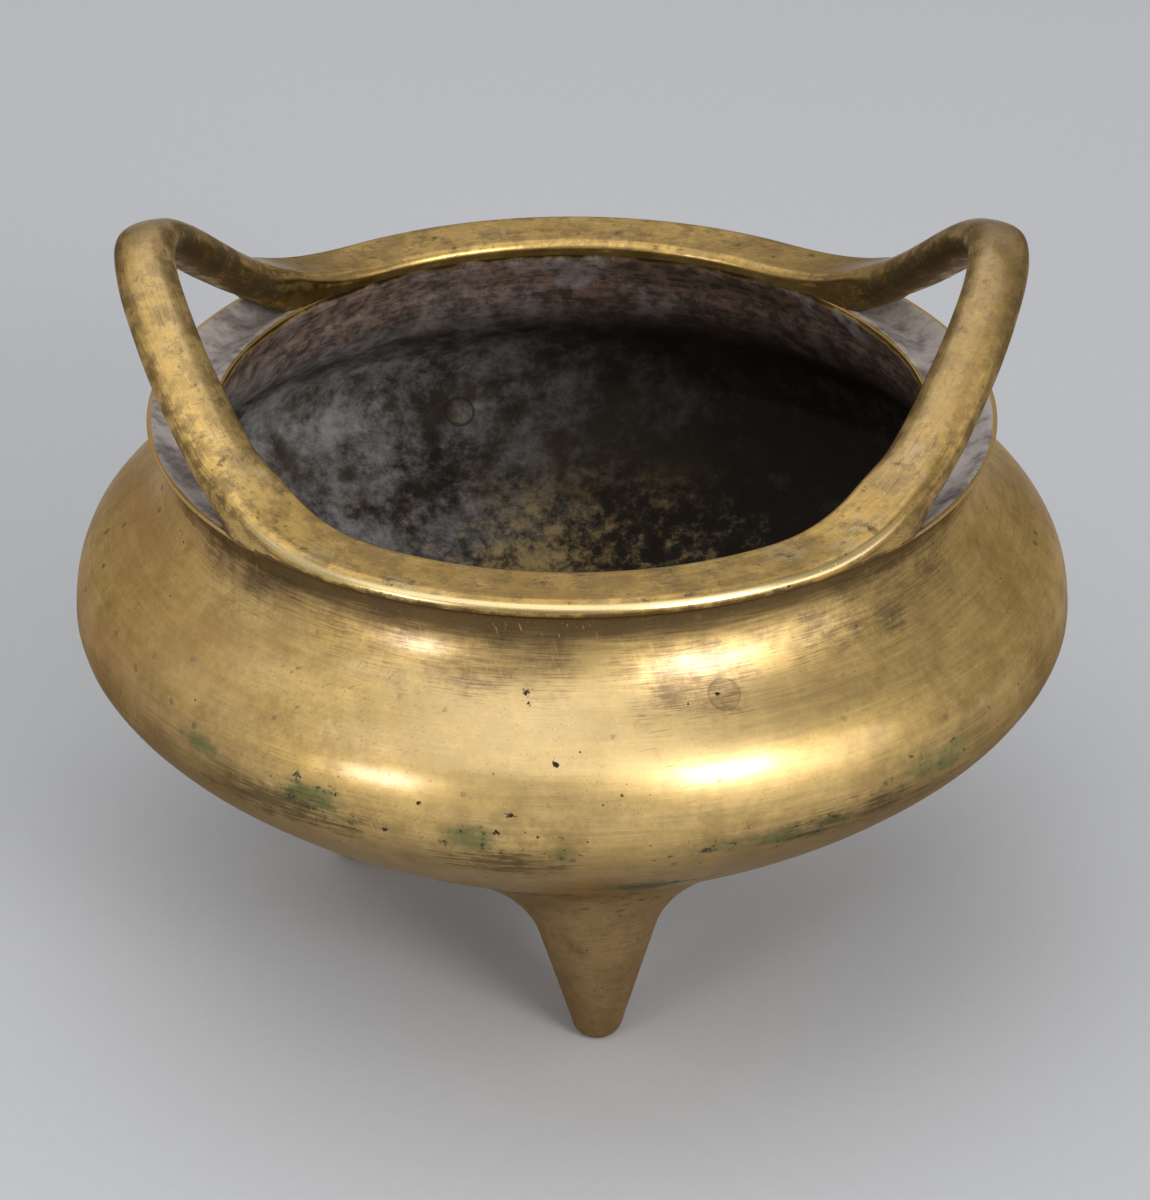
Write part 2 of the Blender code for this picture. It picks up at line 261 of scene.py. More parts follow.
class Sheet:
    """Node sheet of one material, with the places on the object that its layers refer to."""

    def __init__(self, name: str) -> None:
        """Start an empty node material."""
        self.material = bpy.data.materials.new(name)
        self.material.use_nodes = True
        self.tree = self.material.node_tree
        self.tree.nodes.clear()
        self.place = self.node("ShaderNodeTexCoord", output="Object")
        self.x = self.node("ShaderNodeSeparateXYZ", {}, {0: self.place}, output="X")
        parts = self.x.socket.node.outputs
        self.y = Value(self, parts["Y"])
        self.z = Value(self, parts["Z"])
        self.swing = self.node("ShaderNodeMath", {"operation": "ARCTAN2"}, {0: self.x, 1: -self.y})
        self.beside = abs(abs(self.swing) - pi / 2)
        flat = self.vector(self.x, self.y, 0.0)
        self.round = self.node("ShaderNodeVectorMath", {"operation": "NORMALIZE"}, {0: flat})

    def node(
        self,
        kind: str,
        settings: dict | None = None,
        sockets: dict | None = None,
        output: str | int = 0,
    ) -> Value | None:
        """Add a node.

        Args:
            kind: Node type.
            settings: Properties of the node, which are set first.
            sockets: Values or links of its input sockets, by name or number.
            output: Output socket to give back.

        Returns:
            The chosen output socket, or None where the node has none.
        """
        made = self.tree.nodes.new(kind)
        for key, setting in (settings or {}).items():
            setattr(made, key, setting)
        for key, given in (sockets or {}).items():
            socket = made.inputs[key]
            if isinstance(given, Value):
                self.tree.links.new(given.socket, socket)
            elif isinstance(given, tuple) and socket.type == "RGBA":
                socket.default_value = (*given, 1.0)
            else:
                socket.default_value = given
        return Value(self, made.outputs[output]) if made.outputs else None

    def mark(self, name: str) -> Value:
        """Named value that the mesh holds at its points."""
        return self.node("ShaderNodeAttribute", {"attribute_name": name}, output="Fac")

    def scaled(self, vector: Value, scale: tuple[float, float, float]) -> Value:
        """Vector with each of its axes scaled."""
        return self.node("ShaderNodeVectorMath", {"operation": "MULTIPLY"}, {0: vector, 1: scale})

    def vector(self, x: Value | float, y: Value | float, z: Value | float) -> Value:
        """Vector from three values."""
        return self.node("ShaderNodeCombineXYZ", {}, {0: x, 1: y, 2: z})

    def cloud(self, vector: Value, scale: float, detail: float = 4.0, rough: float = 0.55) -> Value:
        """Soft noise between about 0 and 1."""
        sockets = {"Vector": vector, "Scale": scale, "Detail": detail, "Roughness": rough}
        return self.node("ShaderNodeTexNoise", {}, sockets)

    def mix(self, mask: Value | float, under: Value | Colour, over: Value | Colour) -> Value:
        """Colour between two, by a mask."""
        sockets = {0: mask, 6: under, 7: over}
        return self.node("ShaderNodeMix", {"data_type": "RGBA"}, sockets, output=2)

    def tone(self, colour: Value | Colour, factor: Value) -> Value:
        """Colour made lighter or darker by a factor."""
        grey = self.vector(factor, factor, factor)
        return self.node("ShaderNodeVectorMath", {"operation": "MULTIPLY"}, {0: colour, 1: grey})

    def lathe(self, along: float, across: float, stack: Value) -> Value:
        """Noise in streaks that run round the bowl's axis.

        Args:
            along: Length of a streak, in metres.
            across: Width of a streak, in metres.
            stack: What the streaks are stacked along, in metres.

        Returns:
            Noise between about 0 and 1.
        """
        reach = BODY.body_radius / along
        flat = self.scaled(self.round, (reach, reach, reach))
        lift = self.vector(0.0, 0.0, stack * (1 / across))
        spot = self.node("ShaderNodeVectorMath", {"operation": "ADD"}, {0: flat, 1: lift})
        return self.cloud(spot, 1.0, 3.0, 0.6)

    def drawn(self, along: float, across: float) -> Value:
        """Noise in streaks along the rim and handles, with their length and width in metres."""
        spot = self.vector(self.mark("run") * (1 / along), self.mark("girth") * (1 / across), self.z * 60.0)
        return self.cloud(spot, 1.0, 3.0, 0.6)

    def scratches(self, way: tuple[float, float, float]) -> Value:
        """Mask of fine straight scratches along a direction, in loose groups."""
        turn = tuple(Vector(way).to_track_quat("Z", "Y").inverted().to_euler())
        sockets = {"Vector": self.place, "Rotation": turn}
        spot = self.node("ShaderNodeVectorRotate", {"rotation_type": "EULER_XYZ"}, sockets)
        line = self.cloud(self.scaled(spot, (2900.0, 2900.0, 230.0)), 1.0, 1.0)
        group = self.cloud(spot, 48.0, 2.0).step(0.42, 0.60)
        return line.step(0.66, 0.74) * group

    def spots(self, scale: float, share: float, size: float) -> Value:
        """Scattered small spots with ragged edges.

        Args:
            scale: Cells per metre.
            share: Share of the cells that hold a spot.
            size: Radius of a spot as a share of its cell.

        Returns:
            Mask of the spots.
        """
        sockets = {"Vector": self.place, "Scale": scale}
        cell = self.node("ShaderNodeTexVoronoi", {}, sockets, output="Distance")
        draw = Value(self, cell.socket.node.outputs["Color"])
        ragged = self.cloud(self.place, scale * 3.0, 3.0, 0.7) * 0.9 - 0.45
        hold = self.node("ShaderNodeSeparateColor", {}, {0: draw}).step(1 - share, 1 - share + 0.01)
        return (cell + ragged * size * 2).step(size, size * 0.6) * hold

    def union(self, blots: "Sequence[Blot]") -> Value:
        """Mask of several patches together."""
        mask = blots[0].mask(self)
        for blot in blots[1:]:
            mask = mask.most(blot.mask(self))
        return mask


@dataclass(frozen=True)
class Blot:
    """Patch on the bowl's side at a swing from the front, in degrees, and a height.

    Attributes:
        swing: Middle of the patch, in degrees from the front.
        height: Middle of the patch above the ground.
        half_length: Half of its length round the bowl.
        half_height: Half of its height.
        strength: How much it covers.
    """

    swing: float
    height: float
    half_length: float
    half_height: float
    strength: float = 1.0

    def mask(self, sheet: Sheet) -> Value:
        """Mask that is 1 in the patch's middle and falls to 0 at its edge."""
        along = (sheet.swing - radians(self.swing)) * (BODY.body_radius / self.half_length)
        up = (sheet.z - self.height) * (1 / self.half_height)
        return (1.0 - (along * along + up * up).root()) * self.strength


@dataclass
class Patina:
    """Layers over one surface, which starts as bare metal.

    Attributes:
        sheet: Sheet that they are drawn on.
        colour: Colour of the layers so far.
        rough: Their roughness.
        metal: How metallic they are.
        relief: Their height, in metres.
        polish: How much clear polish lies over them.
        polish_rough: Roughness of the polish.
        polish_depth: Refraction of the polish.
        glance: Tint of the metal at a glancing angle.
    """

    sheet: Sheet
    colour: Value | Colour
    rough: Value | float
    metal: Value | float = 1.0
    relief: Value | float = 0.0
    polish: Value | float = 0.0
    polish_rough: float = 0.23
    polish_depth: float = 1.85
    glance: Colour = (0.68, 0.54, 0.40)

    def lay(
        self,
        mask: Value,
        colour: Value | Colour,
        rough: Value | float | None = None,
        metal: float | None = None,
        relief: float = 0.0,
    ) -> None:
        """Lay a layer over what is there.

        Args:
            mask: Where the layer covers.
            colour: Its colour.
            rough: Its roughness, or None to keep what is there.
            metal: How metallic it is, or None to keep what is there and its polish.
            relief: Height of the layer, in metres.
        """
        self.colour = self.sheet.mix(mask, self.colour, colour)
        if rough is not None:
            self.rough = mask * rough + (1.0 - mask) * self.rough
        if metal is not None:
            self.metal = mask * metal + (1.0 - mask) * self.metal
            self.polish = (1.0 - mask) * self.polish
        if relief:
            self.relief = mask * relief + self.relief

    def finish(self) -> bpy.types.Material:
        """Link the layers to the surface shader.

        Returns:
            The finished material.
        """
        sockets = {
            "Base Color": self.colour,
            "Roughness": self.rough,
            "Metallic": self.metal,
            "Specular Tint": self.glance,
            "Coat Weight": self.polish,
            "Coat Roughness": self.polish_rough,
            "Coat IOR": self.polish_depth,
        }
        if isinstance(self.relief, Value):
            bump = {"Height": self.relief * (1 / MM), "Distance": MM, "Strength": 1.0}
            sockets["Normal"] = self.sheet.node("ShaderNodeBump", {}, bump)
        shader = self.sheet.node("ShaderNodeBsdfPrincipled", {}, sockets)
        self.sheet.node("ShaderNodeOutputMaterial", {}, {"Surface": shader})
        return self.sheet.material


@dataclass(frozen=True)
class Body:
    """Bowl turned from its outline, with its neck, its channelled lip and its hollow."""

    body_radius: float = 75.0 * MM
    equator: float = 55.2 * MM
    cap_radius: float = 48.1 * MM
    cap_drop: float = 24.3 * MM
    cap_slope: float = radians(28.8)
    belly_fullness: float = 6.8 * MM
    cap_fullness: float = 12.0 * MM
    shoulder_radius: float = 65.2 * MM
    shoulder_rise: float = 17.2 * MM
    shoulder_slope: float = radians(45)
    shoulder_fullness: float = 10.5 * MM
    shoulder_turn: float = 5.9 * MM
    hollow_turn: float = 4.3 * MM
    neck_radius: float = 60.4 * MM
    neck_rise: float = 28.1 * MM
    neck_turn: float = 3.8 * MM
    wall: float = 4.3 * MM
    lip_radius: float = 63.75 * MM
    lip_inner: float = 53.3 * MM
    lip_rise: float = 31.2 * MM
    lip_edge: float = 1.2 * MM
    cove_drop: float = 6.0 * MM
    channel_land: float = 1.2 * MM
    channel_depth: float = 1.6 * MM
    rim_height: float = 1.8 * MM
    bead_radius: float = 1.5 * MM
    flare_rise: float = 0.6
    flare_reach: float = 0.4
    pole_radius: float = 0.2 * MM
    dent_size: float = 22 * MM
    dent_depth: float = 0.16 * MM
    file_size: float = 7 * MM
    file_depth: float = 0.03 * MM
    true_reach: float = 3 * MM
    cap_steps: int = 24
    belly_steps: int = 30
    shoulder_steps: int = 22
    hollow_steps: int = 16
    flare_steps: int = 14
    bead_steps: int = 6
    channel_steps: int = 16
    cove_steps: int = 12
    around: int = 288

    @property
    def lip_top(self) -> float:
        """Height of the lip's top."""
        return self.equator + self.lip_rise

    @property
    def lip_root(self) -> float:
        """Height of the lip's lower edge."""
        return self.lip_top - self.lip_edge

    def belly_corners(self) -> tuple[Point2, Point2, Point2, Point2]:
        """Curve of the side from the edge of the round bottom up to the equator."""
        edge = (self.cap_radius, self.equator - self.cap_drop)
        reach = self.cap_fullness
        edge_turn = (edge[0] + reach * cos(self.cap_slope), edge[1] + reach * sin(self.cap_slope))
        equator_turn = (self.body_radius, self.equator - self.belly_fullness)
        return edge, edge_turn, equator_turn, (self.body_radius, self.equator)

    @cache
    def side(self) -> list[Point2]:
        """Outer side from the axis below up to the neck, as (radius, height)."""
        sphere = self.cap_radius / sin(self.cap_slope)
        middle = self.equator - self.cap_drop + sphere * cos(self.cap_slope)
        radii = [self.cap_radius * i / self.cap_steps for i in range(self.cap_steps + 1)]
        radii[0] = 2 * self.pole_radius
        points = [(r, middle - sqrt(sphere * sphere - r * r)) for r in radii]
        points += arc_points(self.belly_corners(), self.belly_steps)
        equator = (self.body_radius, self.equator)
        shoulder = (self.shoulder_radius, self.equator + self.shoulder_rise)
        neck = (self.neck_radius, self.equator + self.neck_rise)
        lean = Vector((-cos(self.shoulder_slope), sin(self.shoulder_slope)))
        equator_turn = (self.body_radius, self.equator + self.shoulder_fullness)
        shoulder_turn = Vector(shoulder) - lean * self.shoulder_turn
        points += arc_points((equator, equator_turn, shoulder_turn, shoulder), self.shoulder_steps)
        hollow_turn = Vector(shoulder) + lean * self.hollow_turn
        neck_turn = (self.neck_radius, neck[1] - self.neck_turn)
        points += arc_points((shoulder, hollow_turn, neck_turn, neck), self.hollow_steps)
        return points

    def outward(self, points: list[Point2], index: int) -> Vector:
        """Outward direction of an outline at one of its points, as (radius, height)."""
        before = points[max(index - 1, 0)]
        after = points[min(index + 1, len(points) - 1)]
        along = Vector((after[0] - before[0], after[1] - before[1])).normalized()
        return Vector((along.y, -along.x))

    def lip(self) -> list[Point2]:
        """Lip from the neck, out round the lower half of its bead and across its channel to the mouth."""
        top, bead = self.lip_top, self.bead_radius
        middle = (self.lip_radius - bead, top + self.rim_height - bead)
        neck = (self.neck_radius, self.equator + self.neck_rise)
        low = (middle[0], middle[1] - bead)
        rise_turn = (neck[0], blend(neck[1], low[1], self.flare_rise))
        reach_turn = (blend(neck[0], low[0], self.flare_reach), low[1])
        points = arc_points((neck, rise_turn, reach_turn, low), self.flare_steps)
        for i in range(1, self.bead_steps + 1):
            angle = radians(blend(-90, -30, i / self.bead_steps))
            points.append((middle[0] + bead * cos(angle), middle[1] + bead * sin(angle)))
        soft = self.lip_edge / 2
        nose = points[-1]
        points += arc_points((nose, (nose[0], top), (nose[0], top), (nose[0] - soft, top)), self.bead_steps)
        start = nose[0] - self.channel_land
        end = self.lip_inner + self.channel_land
        for i in range(self.channel_steps + 1):
            share = i / self.channel_steps
            points.append((blend(start, end, share), top - self.channel_depth * sin(pi * share)))
        inner = self.lip_inner
        edge = (inner, top - soft)
        points += arc_points(((inner + soft, top), (inner, top), (inner, top), edge), self.bead_steps)
        return points

    def underside(self, radius: float) -> float:
        """Height of the outer surface below the equator, at a distance from the axis."""
        points = [p for p in self.side() if p[1] <= self.equator]
        for low, high in zip(points, points[1:]):
            if low[0] <= radius <= high[0]:
                return blend(low[1], high[1], (radius - low[0]) / (high[0] - low[0]))
        return points[0][1]

    def skin(self, spot: Point2, away: Vector, turn: float, proud: float = 0.0) -> Vector:
        """Point of the uneven surface.

        Args:
            spot: Radius and height on the smooth outline.
            away: Outward direction there, as (radius, height).
            turn: Angle from +X.
            proud: How far outside the surface.

        Returns:
            The point.
        """
        point = Vector((spot[0] * cos(turn), spot[0] * sin(turn), spot[1]))
        uneven = ripple(point, self.dent_size, self.dent_depth)
        uneven += ripple(point, self.file_size, self.file_depth)
        push = proud + uneven * ease(spot[1], self.lip_root, self.lip_root - self.true_reach)
        return point + Vector((away.x * cos(turn), away.x * sin(turn), away.y)) * push

    def beside(self, point: Vector, proud: float) -> tuple[Vector, float]:
        """Point of the outer side nearest in height and turn to a given point.

        Args:
            point: Point near the outer side, above the round bottom.
            proud: How far outside the surface.

        Returns:
            The point on the surface, and the way up the outside to it.
        """
        side = self.side()
        way = 0.0
        for index, (low, high) in enumerate(zip(side, side[1:])):
            length = hypot(high[0] - low[0], high[1] - low[1])
            if low[1] <= point.z <= high[1] and low[0] > self.cap_radius / 2:
                share = (point.z - low[1]) / (high[1] - low[1])
                spot = (blend(low[0], high[0], share), point.z)
                away = self.outward(side, index).lerp(self.outward(side, index + 1), share)
                return self.skin(spot, away, atan2(point.y, point.x), proud), way + length * share
            way += length
        return point, way

    def slope(self, radius: float) -> float:
        """Climb of the outer surface below the equator, at a distance from the axis."""
        step = self.wall / 8
        return (self.underside(radius + step) - self.underside(radius - step)) / (2 * step)

    def build(self) -> bpy.types.Object:
        """Turn the bowl, with a hand-finished unevenness on its side.

        Returns:
            The bowl, with the marks depth (way from the lip's inner edge down the inside) and way (way
            up the outside).
        """
        side = self.side()
        lip = self.lip()
        inner = []
        for index, (radius, height) in enumerate(side):
            away = self.outward(side, index)
            inner.append((max(radius - away.x * self.wall, self.pole_radius), height - away.y * self.wall))
        inner = [point for point in inner if point[1] < self.lip_root - self.cove_drop]
        edge, wall = lip[-1], inner[-1]
        bend = self.cove_drop / 3
        bends = ((edge[0], edge[1] - bend), (wall[0], wall[1] + bend))
        cove = arc_points((edge, *bends, wall), self.cove_steps)
        outline = side + lip + cove[:-1] + inner[::-1]
        way = 0.0
        ways = []
        for before, after in zip([outline[0], *outline], outline):
            way += hypot(after[0] - before[0], after[1] - before[1])
            ways.append(way)
        mouth = ways[len(side) + len(lip)]
        turns = [2 * pi * i / self.around for i in range(self.around)]
        loops = []
        for index, spot in enumerate(outline):
            away = self.outward(outline, index)
            loops.append([self.skin(spot, away, turn) for turn in turns])
        marks = {
            "depth": [[way - mouth] * self.around for way in ways],
            "way": [[way] * self.around for way in ways],
        }
        return Loft(loops, marks=marks).build("bowl_worn")

    def dress(self) -> None:
        """Build the bowl in its finish."""
        seat(self.build(), "bowl", BowlFinish("bowl_finish").make())


BODY = Body()


@dataclass
class Ring:
    """Rim and bridge handles, one wavy ring cut into four."""

    spread: float = radians(58)
    rise: float = 27.4 * MM
    lean: float = 4.5 * MM
    handle_width: float = 9.0 * MM
    thickness: float = 6.0 * MM
    squareness: float = 2.4
    ridge: float = 1.45
    crest: float = 0.18
    bevel: float = 1.5
    inner_bead: float = 1.3 * MM
    edge_share: float = 0.36
    tuck_drop: float = 0.6
    seat_depth: float = 0.5 * MM
    proud: float = 0.03 * MM
    seated_from: float = radians(31)
    seated_to: float = radians(40)
    tucked_from: float = radians(39)
    tucked_to: float = radians(48)
    dent_size: float = 9 * MM
    dent_depth: float = 0.12 * MM
    section_points: int = 56
    step: float = radians(1.0)

    @property
    def middle(self) -> float:
        """Radius of the rim's middle."""
        return (BODY.lip_inner + BODY.lip_radius) / 2

    @property
    def half_width(self) -> float:
        """Half of the rim's width."""
        return (BODY.lip_radius - BODY.lip_inner) / 2 + self.proud

    def bell(self, turn: float) -> float:
        """Share of the handle's rise: one at its top, none at its feet."""
        share = min(abs(sin(turn)) / sin(self.spread), 1)
        return cos(share * pi / 2) ** 2

    def top(self, turn: float) -> float:
        """Height of the top of the rim or handle."""
        return BODY.lip_top + BODY.rim_height + self.rise * self.bell(turn)

    def bottom(self, turn: float) -> float:
        """Height of the handle's underside, or of the lip's top where the ring sits on it."""
        step = self.step / 2
        climb = self.top(turn + step) - self.top(turn - step)
        slope = climb / (2 * step * self.middle)
        return max(self.top(turn) - self.thickness * sqrt(1 + slope * slope), BODY.lip_top)

    def bar(self, angle: float) -> Point2:
        """Point of the handle's rounded section with its soft ridge, from -1 to 1 outward and upward."""
        across = self.ridge if sin(angle) > 0 else self.squareness
        out = abs(cos(angle)) ** (2 / across) * (1 if cos(angle) > 0 else -1)
        up = abs(sin(angle)) ** (2 / self.squareness) * (1 if sin(angle) > 0 else -1)
        return out - self.crest * (1 - out * out) * max(up, 0.0), up

    def bead(self, angle: float, half: float, top: float, tuck: float) -> Point2:
        """Point of the seated section: a band with round edges on a foot inside the lip.

        Args:
            angle: Angle round the section, from the outer side over the top.
            half: Half of the band's width.
            top: Height of the band's top.
            tuck: How much its outer side tucks in under the bead, from 0 to 1.

        Returns:
            Offset from the band's middle, and height.
        """
        outer, inner, soft = BODY.bead_radius, self.inner_bead, 2 / self.bevel
        edge, flat = self.edge_share, 1 - 2 * self.edge_share
        share = angle / pi
        if share < edge:
            bend = share / edge * pi / 2
            return half - outer + outer * cos(bend) ** soft, top - outer + outer * sin(bend) ** soft
        if share < edge + flat:
            return blend(half - outer, inner - half, (share - edge) / flat), top
        if share < 1:
            bend = (share - edge - flat) / edge * pi / 2
            return inner - half - inner * sin(bend), top - inner + inner * cos(bend)
        foot = BODY.lip_top - self.seat_depth
        share -= 1
        if share < edge:
            return -half, blend(top - inner, foot, share / edge)
        if share < edge + flat:
            return blend(-half, half, (share - edge) / flat), foot
        height = blend(foot, top - outer, (share - edge - flat) / edge)
        drop = min(top - outer - height, self.tuck_drop * outer)
        return half - tuck * (outer - sqrt(outer * outer - drop * drop)), height

    def section(self, turn: float) -> tuple[list[Vector], list[float], list[float], list[float]]:
        """Closed outline across the rim or handle.

        Args:
            turn: Angle from +X.

        Returns:
            Points of the outline, how far out and how far up each lies, from -1 to 1, and its way round.
        """
        bell = self.bell(turn)
        away = abs((turn + pi / 2) % pi - pi / 2)
        seated = ease(away, self.seated_from, self.seated_to)
        tuck = ease(away, self.tucked_from, self.tucked_to)
        middle = self.middle + self.lean * bell ** 2
        half = blend(self.half_width, self.handle_width / 2, bell)
        top, bottom = self.top(turn), self.bottom(turn)
        points, outs, ups, girth = [], [], [], []
        for i in range(self.section_points):
            angle = 2 * pi * (i + 0.5) / self.section_points
            out, up = self.bar(angle)
            bar = (half * out, blend(bottom, top, (up + 1) / 2))
            seat_out, seat_height = self.bead(angle, half, top, tuck)
            radius = middle + blend(bar[0], seat_out, seated)
            height = blend(bar[1], seat_height, seated)
            point = Vector((radius * cos(turn), radius * sin(turn), height))
            swell = ripple(point, self.dent_size, self.dent_depth) * sqrt(bell)
            point += Vector((out * cos(turn), out * sin(turn), up)) * swell
            girth.append(girth[-1] + (point - points[-1]).length if points else 0.0)
            points.append(point)
            outs.append(out)
            ups.append(up)
        return points, outs, ups, girth

    def build(self, name: str, first: float, last: float) -> bpy.types.Object:
        """Make a stretch of the ring.

        Args:
            name: Name of the piece.
            first: Angle from +X where it starts.
            last: Angle from +X where it ends.

        Returns:
            The piece, with the marks out, up, girth (way round its section), run (way along it) and
            arch (share of the handle's rise).
        """
        steps = round((last - first) / self.step)
        turns = [blend(first, last, i / steps) for i in range(steps + 1)]
        loops, outs, ups, girths = (list(column) for column in zip(*(self.section(t) for t in turns)))
        marks = {"out": outs, "up": ups, "girth": girths}
        marks["run"] = [[turn * self.middle] * self.section_points for turn in turns]
        marks["arch"] = [[self.bell(turn)] * self.section_points for turn in turns]
        return Loft(loops, EndCap.FACE, EndCap.FACE, marks).build(name)

    def stretches(self) -> dict[str, tuple[float, float]]:
        """Node of each stretch, with the angles from +X between which it runs."""
        spread = self.spread
        return {
            "handle_right": (-spread, spread),
            "rim_back": (spread, pi - spread),
            "handle_left": (pi - spread, pi + spread),
            "rim_front": (pi + spread, 2 * pi - spread),
        }

    def dress(self) -> None:
        """Build the rim and the handles in their finish."""
        light, deep = (0.66, 0.425, 0.118), (0.50, 0.305, 0.072)
        finish = RimFinish("rim_finish", light, deep, rough=0.34, shine=0.5).make()
        for node, (first, last) in self.stretches().items():
            seat(self.build(node + "_worn", first, last), node, finish)


@dataclass
class Legs:
    """Three tapered legs that flow into the bowl's underside."""

    circle: float = 37.5 * MM
    offset: float = radians(5.8)
    flat_radius: float = 1.2 * MM
    tip_radius: float = 3.9 * MM
    tip_height: float = 3.4 * MM
    tip_bend: float = radians(67)
    root_radius: float = 12.1 * MM
    fillet_from: float = 0.60
    fillet_reach: float = 12.0 * MM
    fillet_rise: float = 0.55
    fillet_run: float = 0.5
    sunk: float = 0.15 * MM
    end_lift: float = 1.0 * MM
    dent_size: float = 8 * MM
    dent_depth: float = 0.08 * MM
    tip_steps: int = 8
    side_steps: int = 14
    fillet_steps: int = 20
    around: int = 72

    def turns(self) -> dict[str, float]:
        """Node of each leg, with its angle from +X."""
        return {
            "leg_front": radians(-90) + self.offset,
            "leg_back_right": radians(30) + self.offset,
            "leg_back_left": radians(150) + self.offset,
        }

    def flank(self, turn: float, angle: float) -> list[Vector]:
        """Points up one side of a leg, from its tip to the bowl.

        Args:
            turn: The leg's angle from +X.
            angle: The side's angle round the leg's own axis.

        Returns:
            Points from the tip's flat to the fillet's end, just inside the bowl's surface.
        """
        centre = Vector((self.circle * cos(turn), self.circle * sin(turn)))
        way = Vector((cos(angle), sin(angle)))
        end = centre + way * (self.root_radius + self.fillet_reach)
        end_height = BODY.underside(end.length) + self.sunk
        climb = BODY.slope(end.length) * way.dot(end.normalized())
        profile = [(self.flat_radius, 0.0)]
        for i in range(1, self.tip_steps + 1):
            bend = self.tip_bend * i / self.tip_steps
            radius = blend(self.flat_radius, self.tip_radius, sin(bend))
            profile.append((radius, self.tip_height * (1 - cos(bend))))
        foot = Vector(profile[-1])
        rise = Vector((self.root_radius, end_height)) - foot
        for i in range(1, self.side_steps + 1):
            profile.append(tuple(foot + rise * (self.fillet_from * i / self.side_steps)))
        start = Vector(profile[-1])
        stop = Vector((self.root_radius + self.fillet_reach, end_height))
        start_turn = start + rise.normalized() * ((stop.y - start.y) * self.fillet_rise)
        stop_turn = stop - Vector((1.0, climb)).normalized() * ((stop.x - start.x) * self.fillet_run)
        profile += arc_points((start, start_turn, stop_turn, stop), self.fillet_steps)
        points = []
        for radius, height in profile:
            point = Vector((centre.x + way.x * radius, centre.y + way.y * radius, height))
            points.append(point + way.to_3d() * ripple(point, self.dent_size, self.dent_depth))
        return points

    def build(self, name: str, turn: float) -> bpy.types.Object:
        """Make one leg."""
        angles = [2 * pi * i / self.around for i in range(self.around)]
        flanks = [self.flank(turn, angle) for angle in angles]
        loops = [list(loop) for loop in zip(*flanks)]
        height = BODY.underside(self.circle) + self.end_lift
        inside = Vector((self.circle * cos(turn), self.circle * sin(turn), height))
        loops.append([point.lerp(inside, 0.5) for point in loops[-1]])
        return Loft(loops).build(name)

    def dress(self) -> None:
        """Build the legs in their finish."""
        light, deep = (0.385, 0.255, 0.108), (0.29, 0.186, 0.077)
        finish = LegFinish("leg_finish", light, deep, rough=0.46, flecks=0.1, shine=0.25).make()
        for node, turn in self.turns().items():
            seat(self.build(node + "_worn", turn), node, finish)


